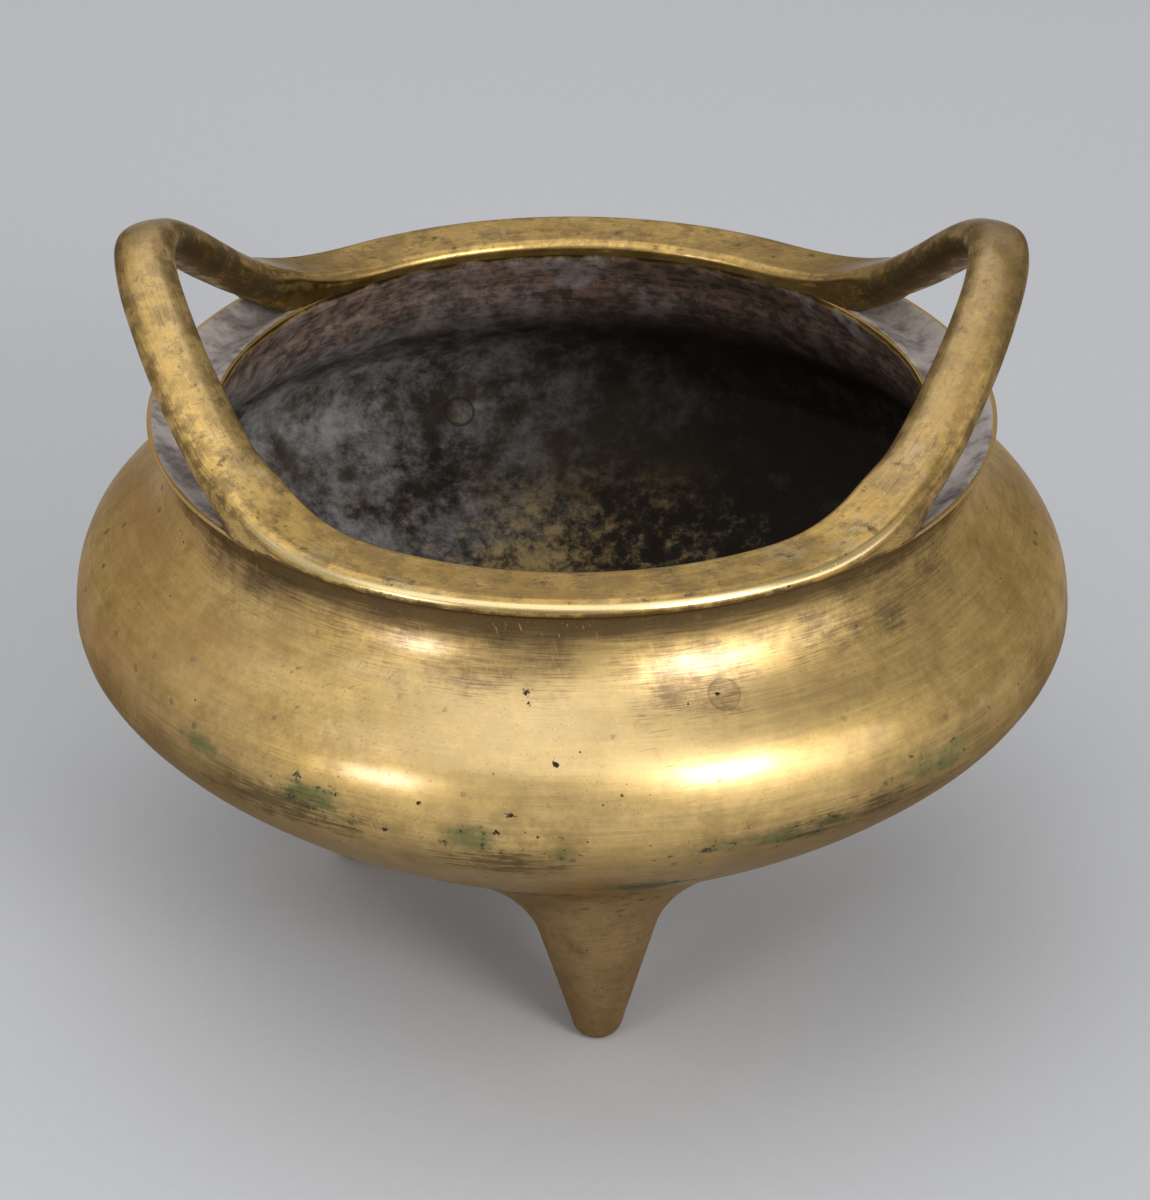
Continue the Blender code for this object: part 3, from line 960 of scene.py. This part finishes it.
@dataclass
class Studs:
    """Rivets over the legs and plugs in the bowl's wall."""

    rivet_radius: float = 4.0 * MM
    rivet_height: float = 1.6 * MM
    rivet_foot: float = 1.0 * MM
    head_gap: float = 0.2 * MM
    plug_radius: float = 2.5 * MM
    plug_proud: float = 0.55 * MM
    plug_face: float = 0.03 * MM
    plug_shares: tuple[float, ...] = (0.04, 0.3, 0.55, 0.8, 0.94, 1.0)
    outer_seam: float = 0.3
    inner_depth: float = 30 * MM
    seam_loops: int = 6
    pole_radius: float = 0.1 * MM
    crease: float = radians(40)
    dome_steps: int = 8
    plugs: dict[str, tuple[float, float]] = field(
        default_factory=lambda: {
            "core_plug_front": (radians(-70.5), 17.4 * MM),
            "core_plug_back": (radians(105.2), -6.4 * MM),
        }
    )
    around: int = 40

    def turned(self, name: str, outline: Sequence[Point2], place: Matrix) -> bpy.types.Object:
        """Small turned piece.

        Args:
            name: Name of the piece.
            outline: Points of (radius, height) along its own axis, +Z into the bowl.
            place: Where it sits.

        Returns:
            The piece.
        """
        loops = [self.ring(radius, height, place) for radius, height in outline]
        return Loft(loops).build(name, self.crease)

    def ring(self, radius: float, height: float, place: Matrix) -> list[Vector]:
        """Circle of points round a stud's own axis."""
        angles = [2 * pi * i / self.around for i in range(self.around)]
        return [place @ Vector((radius * cos(a), radius * sin(a), height)) for a in angles]

    def dome(self, radius: float, base: float, height: float) -> list[Point2]:
        """Outline of a low dome from its rim to just beside its axis."""
        angles = [pi / 2 * i / self.dome_steps for i in range(self.dome_steps)]
        outline = [(radius * cos(angle), base + height * sin(angle)) for angle in angles]
        return outline + [(self.pole_radius, base + height)]

    def rivet(self, name: str, turn: float) -> bpy.types.Object:
        """Rivet over a leg, with its head on the bowl's floor.

        Args:
            name: Name of the piece.
            turn: The leg's angle from +X.

        Returns:
            The rivet.
        """
        slope = BODY.slope(LEGS.circle)
        inward = Vector((-slope * cos(turn), -slope * sin(turn), 1)).normalized()
        flat = Vector((cos(turn), sin(turn), 0)) * LEGS.circle
        place = facing(flat + Vector((0, 0, BODY.underside(LEGS.circle))), inward)
        outline = [(self.pole_radius, self.rivet_foot), (self.rivet_radius, self.rivet_foot)]
        outline += self.dome(self.rivet_radius, BODY.wall + self.head_gap, self.rivet_height)
        return self.turned(name, outline, place)

    def plug(self, name: str, turn: float, rise: float) -> bpy.types.Object:
        """Plug with a flush outer face and a domed inner end.

        Args:
            name: Name of the piece.
            turn: Its angle from +X.
            rise: Its height above the equator.

        Returns:
            The plug, with the bowl's marks and the mark seam.
        """
        side = BODY.side()
        height = BODY.equator + rise
        index = min(range(BODY.cap_steps + 1, len(side)), key=lambda i: abs(side[i][1] - height))
        away = BODY.outward(side, index)
        inward = -Vector((away.x * cos(turn), away.x * sin(turn), away.y))
        radius, height = side[index]
        place = facing(Vector((radius * cos(turn), radius * sin(turn), height)), inward)
        loops, ways, depths, seams = [], [], [], []
        for share in self.plug_shares:
            circle = self.ring(self.plug_radius * share, 0.0, place)
            spots = [BODY.beside(point, self.plug_face) for point in circle]
            loops.append([point for point, _ in spots])
            ways.append([way for _, way in spots])
            depths.append([-BODY.wall] * self.around)
            seams.append([self.outer_seam if share in self.plug_shares[-2:] else 0.0] * self.around)
        inner = [(self.plug_radius, BODY.wall / 2), (self.plug_radius, BODY.wall - self.pole_radius)]
        inner += self.dome(self.plug_radius, BODY.wall, self.plug_proud)
        for number, (reach, lift) in enumerate(inner):
            loops.append(self.ring(reach, lift, place))
            ways.append(ways[0])
            depths.append([self.inner_depth] * self.around)
            seams.append([1.0 if number < self.seam_loops else 0.0] * self.around)
        return Loft(loops, marks={"way": ways, "depth": depths, "seam": seams}).build(name, self.crease)

    def dress(self) -> None:
        """Build the rivets and plugs in their finish, and give the pins theirs."""
        dull = StudFinish("stud_finish", (0.20, 0.14, 0.08), (0.10, 0.075, 0.05), rough=0.5).make()
        for leg, turn in LEGS.turns().items():
            node = leg.replace("leg_", "leg_rivet_")
            seat(self.rivet(node + "_worn", turn), node, dull)
        flush = BowlFinish("plug_finish", stained=0.04, crust=0.1 * MM, dry=0.30, seam=0.8).make()
        for node, (turn, rise) in self.plugs.items():
            seat(self.plug(node + "_worn", turn, rise), node, flush)
        for node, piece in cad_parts.items():
            if node.startswith("handle_pin"):
                piece.data.materials.clear()
                piece.data.materials.append(dull)
                LOG.info("%s: kept from the frame, finish %s", node, dull.name)


RING = Ring()
LEGS = Legs()
STUDS = Studs()


@dataclass(frozen=True)
class BronzeFinish:
    """Worn bronze, in the colours and wear of one piece.

    Attributes:
        name: Name of the material.
        light: Colour of the bright metal.
        deep: Colour of the darker metal between.
        brown: Colour of the tarnish.
        rough: Roughness of the bright metal.
        tarnish: How much of the tarnish there is.
        flecks: Share of places that hold a dark fleck.
        shine: How much clear polish lies over the metal.
        pit: Colour inside the pits.
    """

    name: str
    light: Colour = (0.69, 0.450, 0.128)
    deep: Colour = (0.55, 0.343, 0.084)
    brown: Colour = (0.24, 0.155, 0.07)
    rough: float = 0.40
    tarnish: float = 0.35
    flecks: float = 0.06
    shine: float = 1.0
    pit: Colour = (0.030, 0.024, 0.018)

    def ground(self, sheet: Sheet, fine: Value) -> Patina:
        """Bare worn metal, cloudy gold with smudges.

        Args:
            sheet: Sheet to draw on.
            fine: Noise of the brushing.

        Returns:
            Layers to lay more on.
        """
        broad = sheet.cloud(sheet.place, 30.0, 5.0, 0.62)
        mottle = sheet.cloud(sheet.place, 210.0, 6.0, 0.68)
        dust = sheet.cloud(sheet.place, 900.0, 4.0, 0.75)
        gold = sheet.mix((broad * 0.6 + mottle * 0.4).step(0.42, 0.58), self.deep, self.light)
        gold = sheet.tone(gold, 0.16 + fine * 0.90 + dust * 0.45 + mottle * 0.33)
        layers = Patina(sheet, gold, self.rough + (fine - 0.5) * 0.25 + (broad - 0.5) * 0.2)
        layers.relief = fine * (0.008 * MM)
        layers.polish = (0.35 + fine * 0.9) * self.shine
        smudge = sheet.cloud(sheet.place, 85.0, 7.0, 0.72)
        layers.lay(smudge.step(0.52, 0.66) * self.tarnish, self.brown, self.rough + 0.12, 1.0)
        return layers

    def wear(self, layers: Patina) -> None:
        """Brown flecks, black pits and fine scratches."""
        sheet = layers.sheet
        crowd = sheet.cloud(sheet.place, 28.0, 3.0).step(0.42, 0.6)
        fleck = sheet.spots(330.0, self.flecks * 3, 0.22) * (0.45 + crowd * 0.5)
        layers.lay(fleck, self.brown, self.rough + 0.15)
        pit = sheet.spots(420.0, self.flecks, 0.12).most(sheet.spots(900.0, self.flecks, 0.2) * crowd)
        layers.lay(pit * 0.9, self.pit, 0.8, 0.1, -0.04 * MM)
        layers.lay(sheet.scratches((0.95, 0.25, 0.1)) * 0.6, self.brown, self.rough + 0.1)
        layers.lay(sheet.scratches((0.5, -0.4, 0.8)) * 0.5, self.brown, self.rough + 0.1)
        layers.lay(sheet.scratches((0.3, -0.3, -0.9)) * 0.5, self.light, self.rough)


@dataclass(frozen=True)
class BowlFinish(BronzeFinish):
    """Brushed gold outside with stains and green corrosion, grey on the lip, soot inside.

    Attributes:
        stained: How much more of the violet stain there is than on the bowl.
        crust: Height of the crust inside.
        dry: Roughness of the soot.
        seam: How dark a plug's seam is.
    """

    stained: float = 0.0
    crust: float = 0.30 * MM
    dry: float = 0.62
    seam: float = 0.0

    def make(self) -> bpy.types.Material:
        """Lay all its layers."""
        sheet = Sheet(self.name)
        way, depth = sheet.mark("way"), sheet.mark("depth")
        grain = sheet.lathe(8 * MM, 0.2 * MM, way) * 0.6 + sheet.lathe(30 * MM, 0.9 * MM, way) * 0.4
        layers = self.ground(sheet, grain)
        self.stain(layers, way)
        self.corrode(layers, way)
        self.wear(layers)
        self.chalk(layers)
        self.soot(layers, depth)
        layers.lay(sheet.mark("seam") * self.seam, (0.040, 0.028, 0.018), 0.6)
        return layers.finish()

    def stain(self, layers: Patina, way: Value) -> None:
        """Painted sheen on the front, browner and painted shade low down, painted shade under the lip,
        coppery left, violet on the neck.
        """
        sheet = layers.sheet
        layers.polish = layers.polish * (1.0 - abs(sheet.swing).step(radians(38), radians(75)) * 0.6)
        # Painted sheen: the front middle of the belly is laid paler, for the front lamps' broad reflection
        # there.
        pale_sheen = Blot(3, 70 * MM, 58 * MM, 16 * MM).mask(sheet).step(0.0, 0.8)
        layers.lay(pale_sheen * 0.4, (0.70, 0.525, 0.255))
        left = sheet.swing.step(radians(-25), radians(-70))
        copper = left * sheet.lathe(60 * MM, 6 * MM, way).step(0.4, 0.6)
        layers.lay(copper * 0.5, (0.56, 0.30, 0.095))
        cloudy = sheet.cloud(sheet.place, 60.0, 6.0, 0.65) - 0.5
        line = sheet.lathe(11 * MM, 0.5 * MM, way) - 0.5
        side = abs(sheet.swing).step(radians(8), radians(50))
        # Painted shade: darker brown low on the belly and more at the sides; partly browner tarnish, mostly
        # the shadowed floor's dark reflection painted in.
        low = sheet.z - side * (5 * MM) + cloudy * (14 * MM) + line * (8 * MM)
        low_shade = low.step(60 * MM, 46 * MM) * (0.45 + side * 0.33)
        layers.lay(low_shade, (0.135, 0.090, 0.038), 0.48, 1.0)
        swings = [(degrees(turn) + 270) % 360 - 180 for turn in LEGS.turns().values()]
        roots = sheet.union([Blot(swing, 31 * MM, 40 * MM, 14 * MM) for swing in swings])
        layers.lay((roots + cloudy * 0.6).step(0.0, 0.5) * 0.8, (0.33, 0.216, 0.088), 0.46)
        smears = sheet.union((
            Blot(-9, 77.5 * MM, 17 * MM, 5.5 * MM, 1.1),
            Blot(15, 75.5 * MM, 15 * MM, 6.5 * MM),
            Blot(-30, 78.5 * MM, 18 * MM, 4.5 * MM, 0.8),
            Blot(38, 77.5 * MM, 20 * MM, 5.0 * MM, 0.8),
            Blot(50, 78.5 * MM, 24 * MM, 6.0 * MM, 1.2),
            Blot(-52, 79.5 * MM, 22 * MM, 4.5 * MM, 0.9),
            Blot(-120, 77.0 * MM, 30 * MM, 5.5 * MM),
            Blot(140, 77.0 * MM, 34 * MM, 5.5 * MM),
        ))
        blotch = sheet.cloud(sheet.place, 120.0, 7.0, 0.74) * 0.6
        blotch = blotch + sheet.lathe(6 * MM, 0.18 * MM, way) * 0.4 + self.stained
        violet = (blotch + smears.step(-0.6, 0.7) * 0.17).step(0.56, 0.78) * smears.step(-0.8, 0.0)
        layers.lay(violet * 0.85, (0.165, 0.100, 0.050), 0.42)
        layers.polish = layers.polish * (1.0 - violet * 0.6)
        saddle = sheet.beside.step(radians(46), radians(38)) * sheet.z.step(83.2 * MM, 84.4 * MM)
        # Painted shade: a dark brown band all round under the lip, for the shade and dark reflection in the
        # neck; it stops on the lip's top beside the handles.
        under = (sheet.z + line * (4 * MM) + cloudy * (4 * MM)).step(78 * MM, 82.5 * MM) * (1.0 - saddle)
        layers.lay(under * 0.90, (0.092, 0.058, 0.025), 0.45, 1.0)
        layers.lay(saddle * 0.6, (0.56, 0.365, 0.115), 0.38)

    def corrode(self, layers: Patina, way: Value) -> None:
        """Olive and green patches round the belly, with black specks, and single black pits."""
        sheet = layers.sheet
        blots = (
            Blot(-46, 58.6 * MM, 9 * MM, 3.0 * MM),
            Blot(-30, 57.2 * MM, 13 * MM, 4.0 * MM, 1.1),
            Blot(-11, 55.6 * MM, 9 * MM, 4.2 * MM, 1.1),
            Blot(-1, 54.0 * MM, 5 * MM, 3.6 * MM),
            Blot(9, 41 * MM, 14 * MM, 7 * MM, 1.1),
            Blot(24, 52.5 * MM, 27 * MM, 4.5 * MM, 0.9),
            Blot(46, 56.0 * MM, 16 * MM, 5.0 * MM, 0.9),
            Blot(120, 55.0 * MM, 30 * MM, 5.0 * MM, 0.9),
            Blot(-125, 56.0 * MM, 34 * MM, 5.0 * MM, 0.9),
            Blot(178, 53.0 * MM, 24 * MM, 5.0 * MM, 0.9),
        )
        patch = sheet.union(blots)
        speckle = sheet.cloud(sheet.place, 520.0, 5.0, 0.7)
        streak = sheet.lathe(6 * MM, 1.6 * MM, way)
        olive = (patch * 0.5 + streak * 0.4 + speckle * 0.35).step(0.55, 0.88)
        layers.lay(olive * 0.75, (0.215, 0.186, 0.062), 0.5)
        green = (patch * 0.5 + streak * 0.5 + speckle * 0.5).step(0.66, 1.02)
        layers.lay(green * 0.8, (0.140, 0.150, 0.052), 0.58, 0.6, 0.02 * MM)
        belt = sheet.union((
            Blot(-34, 54.5 * MM, 26 * MM, 6.5 * MM),
            Blot(-8, 50.5 * MM, 20 * MM, 6.0 * MM, 0.9),
            Blot(34, 52.5 * MM, 30 * MM, 6.5 * MM, 0.9),
            Blot(10, 40.0 * MM, 16 * MM, 8.0 * MM, 0.9),
        ))
        thin = sheet.lathe(7 * MM, 0.45 * MM, way)
        grime = (belt * 0.32 + thin * 0.5 + streak * 0.25 + speckle * 0.25).step(0.62, 0.78)
        layers.lay(grime * 0.75, (0.062, 0.044, 0.021), 0.55, 0.7)
        specks = (patch.step(-0.6, 0.6) * 0.14 + streak * 0.2 + speckle).step(0.82, 0.90)
        layers.lay(specks * 0.9, (0.030, 0.027, 0.020), 0.8, 0.1, -0.03 * MM)
        pits = (
            Blot(-6.0, 73.7 * MM, 0.9 * MM, 0.7 * MM),
            Blot(-5.4, 72.6 * MM, 0.5 * MM, 0.4 * MM),
            Blot(-1.8, 66.5 * MM, 0.8 * MM, 0.6 * MM),
            Blot(-6.8, 59.5 * MM, 1.1 * MM, 0.7 * MM),
            Blot(40.8, 59.1 * MM, 0.7 * MM, 0.5 * MM),
            Blot(18.6, 72.4 * MM, 0.5 * MM, 0.4 * MM),
            Blot(-8.2, 56.8 * MM, 1.0 * MM, 0.6 * MM),
            Blot(-21.0, 55.0 * MM, 0.9 * MM, 0.6 * MM),
            Blot(-17.0, 60.0 * MM, 0.7 * MM, 0.4 * MM),
        )
        ragged = sheet.cloud(sheet.place, 1700.0, 3.0, 0.7)
        pit = (sheet.union(pits) + (ragged - 0.5) * 3.0).step(0.42, 0.62)
        layers.lay(pit, (0.016, 0.014, 0.012), 0.8, 0.1, -0.08 * MM)

    def chalk(self, layers: Patina) -> None:
        """Pale grey film on the lip's top where the handles rise off it."""
        sheet = layers.sheet
        film = sheet.cloud(sheet.place, 130.0, 7.0, 0.70)
        pale = sheet.mix(film.step(0.34, 0.60), (0.160, 0.130, 0.120), (0.47, 0.420, 0.385))
        bridged = sheet.beside.step(radians(50), radians(44)) * sheet.z.step(84 * MM, 84.6 * MM)
        reach = (sheet.x * sheet.x + sheet.y * sheet.y).root() + (film - 0.5) * MM
        within = reach.step(63.1 * MM, 62.8 * MM) * reach.step(53.5 * MM, 53.9 * MM)
        layers.lay(bridged * within, pale, 0.72, 0.1)

    def soot(self, layers: Patina, depth: Value) -> None:
        """Soot, ash and rust-brown crust inside, with painted light on the left and painted shade on the
        right.
        """
        sheet = layers.sheet
        grain = sheet.cloud(sheet.place, 380.0, 6.0, 0.75)
        broad = sheet.cloud(sheet.place, 36.0, 6.0, 0.66)
        # left grows towards the inside's left. What it scales is painted light: more brown and ash and a
        # lighter tone on the left, where a lamp from the right falls, and a darker right in shade.
        left = sheet.x.step(25 * MM, -45 * MM)
        brown = broad.step(0.36, 0.64) * (0.4 + left * 0.6)
        colour = sheet.mix(brown, (0.010, 0.009, 0.008), (0.070, 0.054, 0.042))
        ash = sheet.cloud(sheet.place, 62.0, 8.0, 0.74) + left * 0.12 + (grain - 0.5) * 0.5
        colour = sheet.mix(ash.step(0.46, 0.80) * (0.22 + left * 0.7), colour, (0.36, 0.358, 0.355))
        near = depth.step(20 * MM, 5 * MM)
        scale = sheet.lathe(5 * MM, 0.8 * MM, depth) * 0.35 + grain * 0.65
        rust = sheet.mix(scale.step(0.42, 0.6), (0.085, 0.056, 0.043), (0.330, 0.210, 0.152))
        colour = sheet.tone(sheet.mix(near * 0.8, colour, rust), 0.58 + left * 0.37)
        film = sheet.cloud(sheet.place, 70.0, 6.0, 0.7).step(0.52, 0.66) * near
        colour = sheet.mix(film * 0.6, colour, (0.34, 0.30, 0.30))
        ochre = (grain * 0.5 + broad * 0.5).step(0.47, 0.63) * depth.step(46 * MM, 68 * MM)
        colour = sheet.mix(ochre * 0.9, colour, (0.48, 0.335, 0.140))
        edge = sheet.cloud(sheet.place, 140.0, 5.0, 0.65)
        cover = (depth + (edge - 0.5) * (3 * MM)).step(-0.6 * MM, 0.4 * MM)
        layers.lay(cover, colour, self.dry + broad * 0.3, 0.0)
        layers.relief = cover * grain * self.crust + layers.relief


@dataclass(frozen=True)
class RimFinish(BronzeFinish):
    """Rubbed gold on the rim and handles, patchy, with dark tarnish inside the arches and painted shade
    under the handles and the rim's bead.
    """

    def make(self) -> bpy.types.Material:
        """Lay all its layers."""
        sheet = Sheet(self.name)
        out, up, arch = sheet.mark("out"), sheet.mark("up"), sheet.mark("arch")
        layers = self.ground(sheet, sheet.drawn(7 * MM, 0.2 * MM))
        patch = sheet.cloud(sheet.place, 290.0, 6.0, 0.68)
        layers.lay(patch.step(0.46, 0.58) * 0.62, (0.32, 0.203, 0.064), 0.42)
        pale = sheet.cloud(sheet.place, 112.0, 6.0, 0.7)
        layers.lay(pale.step(0.57, 0.63) * 0.45, (0.54, 0.43, 0.22), 0.45)
        hatch = sheet.drawn(3 * MM, 0.3 * MM)
        dark = (hatch * 0.45 + patch * 0.35 + pale * 0.2).step(0.53, 0.63)
        layers.lay(dark * 0.55, (0.120, 0.078, 0.030), 0.48, 1.0)
        scab = sheet.cloud(sheet.place, 340.0, 6.0, 0.72)
        layers.lay(scab.step(0.59, 0.66) * 0.65, (0.085, 0.060, 0.030), 0.52, 0.9)
        grit = sheet.cloud(sheet.place, 1100.0, 3.0, 0.7)
        layers.lay(grit.step(0.60, 0.70) * 0.5, (0.150, 0.098, 0.040), 0.48)
        # A duller brown over the handles' upper arches, and painted shade over the right handle, which
        # stands in shade.
        right = sheet.x.step(20 * MM, 60 * MM) * arch.step(0.02, 0.2)
        layers.lay(arch.step(0.3, 1.0) * 0.25 + right * 0.25, (0.30, 0.195, 0.070), 0.42)
        sides = out.step(-0.25, -0.75) + out.step(0.45, 0.95)
        slope = sides * arch.step(0.02, 0.2) * (patch * 0.7 + hatch * 0.3).step(0.40, 0.56)
        layers.lay(slope * 0.65, (0.16, 0.105, 0.045), 0.48, 1.0)
        # Partly worn edge, partly painted highlight: the upper outer edge of the rim's bead is laid in
        # bright, smoother gold, fading out up the handles.
        edge = out.step(0.62, 0.80) * up.step(0.15, 0.35) * arch.step(0.13, 0.01)
        layers.lay(edge * 0.9, (0.90, 0.67, 0.28), 0.22)
        layers.polish = layers.polish + edge * 0.7 + up.step(0.7, 1.0) * arch.step(0.05, 0.3) * 0.3
        # Dark brown inside the arches is tarnish in the hollows; under the handles and on the lower outer
        # side of the bead it is painted shade and painted dark reflection.
        inner = (out * -0.75 - up * 0.55) * arch.step(0.10, 0.35)
        below = sheet.z.step(87.0 * MM, 86.3 * MM) * out.step(0.0, 0.5)
        under = inner.most(up.step(0.0, -0.8) * arch.step(0.05, 0.2) * 0.75).most(below * 0.8)
        tarnish = (under + (patch - 0.5) * 2.0).step(0.45, 0.85)
        layers.lay(tarnish * 0.85, (0.085, 0.058, 0.028), 0.55, 0.6)
        soot = (out.step(-0.8, -1.0) * up.step(0.5, -0.2) * 0.5 + (pale - 0.5) * 1.4).step(0.46, 0.75)
        layers.lay(soot * 0.8, (0.050, 0.035, 0.024), 0.6, 0.1)
        self.wear(layers)
        return layers.finish()


@dataclass(frozen=True)
class LegFinish(BronzeFinish):
    """Duller and browner bronze, with some green at the root."""

    def make(self) -> bpy.types.Material:
        """Lay all its layers."""
        sheet = Sheet(self.name)
        layers = self.ground(sheet, sheet.lathe(5 * MM, 0.25 * MM, sheet.z))
        speckle = sheet.cloud(sheet.place, 420.0, 4.0, 0.7)
        streak = sheet.lathe(5 * MM, 1.2 * MM, sheet.z)
        root = sheet.z.step(20 * MM, 33 * MM)
        green = (root * 0.28 + speckle * 0.6 + streak * 0.4).step(0.68, 0.92)
        layers.lay(green * 0.6, (0.118, 0.122, 0.050), 0.6, 0.4)
        grime = (root * 0.14 + speckle * 0.6 + streak * 0.4).step(0.62, 0.74)
        layers.lay(grime * 0.6, (0.070, 0.050, 0.024), 0.55, 0.8)
        self.wear(layers)
        return layers.finish()


@dataclass(frozen=True)
class StudFinish(BronzeFinish):
    """Dull bronze under soot, on the rivets and pins."""

    def make(self) -> bpy.types.Material:
        """Lay all its layers."""
        sheet = Sheet(self.name)
        layers = self.ground(sheet, sheet.cloud(sheet.place, 1500.0, 2.0))
        soot = sheet.cloud(sheet.place, 300.0, 5.0).step(0.3, 0.6)
        layers.lay(soot * 0.85, (0.022, 0.019, 0.018), 0.7, 0.0)
        return layers.finish()


@dataclass(frozen=True)
class Softbox:
    """Soft lamp with a square-cornered face, aimed at the bowl.

    Attributes:
        name: Name of the lamp.
        swing: Direction it stands in, in degrees from the front.
        lift: Its height above the horizon, in degrees.
        distance: Distance from the bowl's middle.
        size: Width and height of its face.
        power: Its power, in watts.
    """

    name: str
    swing: float
    lift: float
    distance: float
    size: tuple[float, float]
    power: float

    def build(self) -> None:
        """Make the lamp."""
        lamp = bpy.data.lights.new(self.name, "AREA")
        lamp.shape = "RECTANGLE"
        lamp.size, lamp.size_y = self.size
        lamp.energy = self.power
        stand = bpy.data.objects.new(self.name, lamp)
        swing, lift = radians(self.swing), radians(self.lift)
        way = Vector((sin(swing) * cos(lift), -cos(swing) * cos(lift), sin(lift)))
        middle = Vector((0, 0, BODY.equator))
        stand.location = middle + way * self.distance
        stand.rotation_euler = way.to_track_quat("Z", "Y").to_euler()
        bpy.context.scene.collection.objects.link(stand)


@dataclass
class Studio:
    """Floor, lamps and camera."""

    floor_half: float = 4.0
    floor_colour: Colour = (0.55, 0.56, 0.58)
    sky_colour: Colour = (0.95, 0.97, 1.0)
    sky: float = 0.35
    elevation: float = radians(28.84)
    distance: float = 1.05
    lens: float = 207.6
    aim_right: float = 0.455 * MM
    aim_down: float = 1.29 * MM
    lamps: tuple[Softbox, ...] = (
        Softbox("front_left", -41, 11, 1.1, (0.24, 0.26), 2.0),
        Softbox("front_right", 34, 25, 1.1, (0.36, 0.32), 4.2),
        Softbox("front_fill", -6, 50, 1.3, (2.5, 0.75), 5.7),
        Softbox("right_fill", 50, 14, 1.3, (1.0, 0.6), 2.6),
        Softbox("left_fill", -92, 18, 1.3, (0.9, 0.7), 0.6),
        Softbox("overhead", -130, 76, 1.2, (1.4, 1.6), 5.6),
        Softbox("back_fill", 180, 32, 1.5, (2.4, 0.7), 1.3),
    )

    def build(self) -> None:
        """Make the floor, the lamps and the camera."""
        self.floor()
        for lamp in self.lamps:
            lamp.build()
        world = bpy.data.worlds.new("studio")
        world.use_nodes = True
        sky = world.node_tree.nodes["Background"].inputs
        sky["Color"].default_value = (*self.sky_colour, 1.0)
        sky["Strength"].default_value = self.sky
        bpy.context.scene.world = world
        bpy.context.scene.view_settings.view_transform = "Standard"
        self.camera()

    def floor(self) -> None:
        """Plain pale floor under the legs."""
        half = self.floor_half
        corners = [(-half, -half, 0), (half, -half, 0), (half, half, 0), (-half, half, 0)]
        mesh = bpy.data.meshes.new("floor")
        mesh.from_pydata(corners, [], [(0, 1, 2, 3)])
        floor = bpy.data.objects.new("floor", mesh)
        bpy.context.scene.collection.objects.link(floor)
        sheet = Sheet("floor_paper")
        fibre = sheet.cloud(sheet.place, 500.0, 3.0)
        layers = Patina(sheet, sheet.tone(self.floor_colour, 0.97 + fibre * 0.06), 0.8)
        layers.metal = 0.0
        mesh.materials.append(layers.finish())
        floor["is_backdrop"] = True

    def camera(self) -> None:
        """Camera at the photograph's angle."""
        lens = bpy.data.cameras.new("camera")
        lens.lens = self.lens
        camera = bpy.data.objects.new("camera", lens)
        forward = Vector((0, cos(self.elevation), -sin(self.elevation)))
        up = Vector((0, sin(self.elevation), cos(self.elevation)))
        middle = Vector((0, 0, BODY.equator))
        camera.location = middle - forward * self.distance
        aim = middle + Vector((1, 0, 0)) * self.aim_right - up * self.aim_down
        camera.rotation_euler = (aim - camera.location).to_track_quat("-Z", "Y").to_euler()
        bpy.context.scene.collection.objects.link(camera)
        bpy.context.scene.camera = camera


def corners(box: tuple[Vector, Vector]) -> list[list[float]]:
    """Corners of a box as plain lists."""
    return [list(corner) for corner in box]


def main() -> None:
    """Build the studio and dress every piece."""
    logging.basicConfig(level=logging.INFO, format="%(name)s: %(message)s")
    cad_box = corners(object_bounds())
    Studio().build()
    BODY.dress()
    RING.dress()
    LEGS.dress()
    STUDS.dress()
    boxes = {"cad": cad_box, "visual": corners(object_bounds())}


if __name__ == "__main__":
    main()
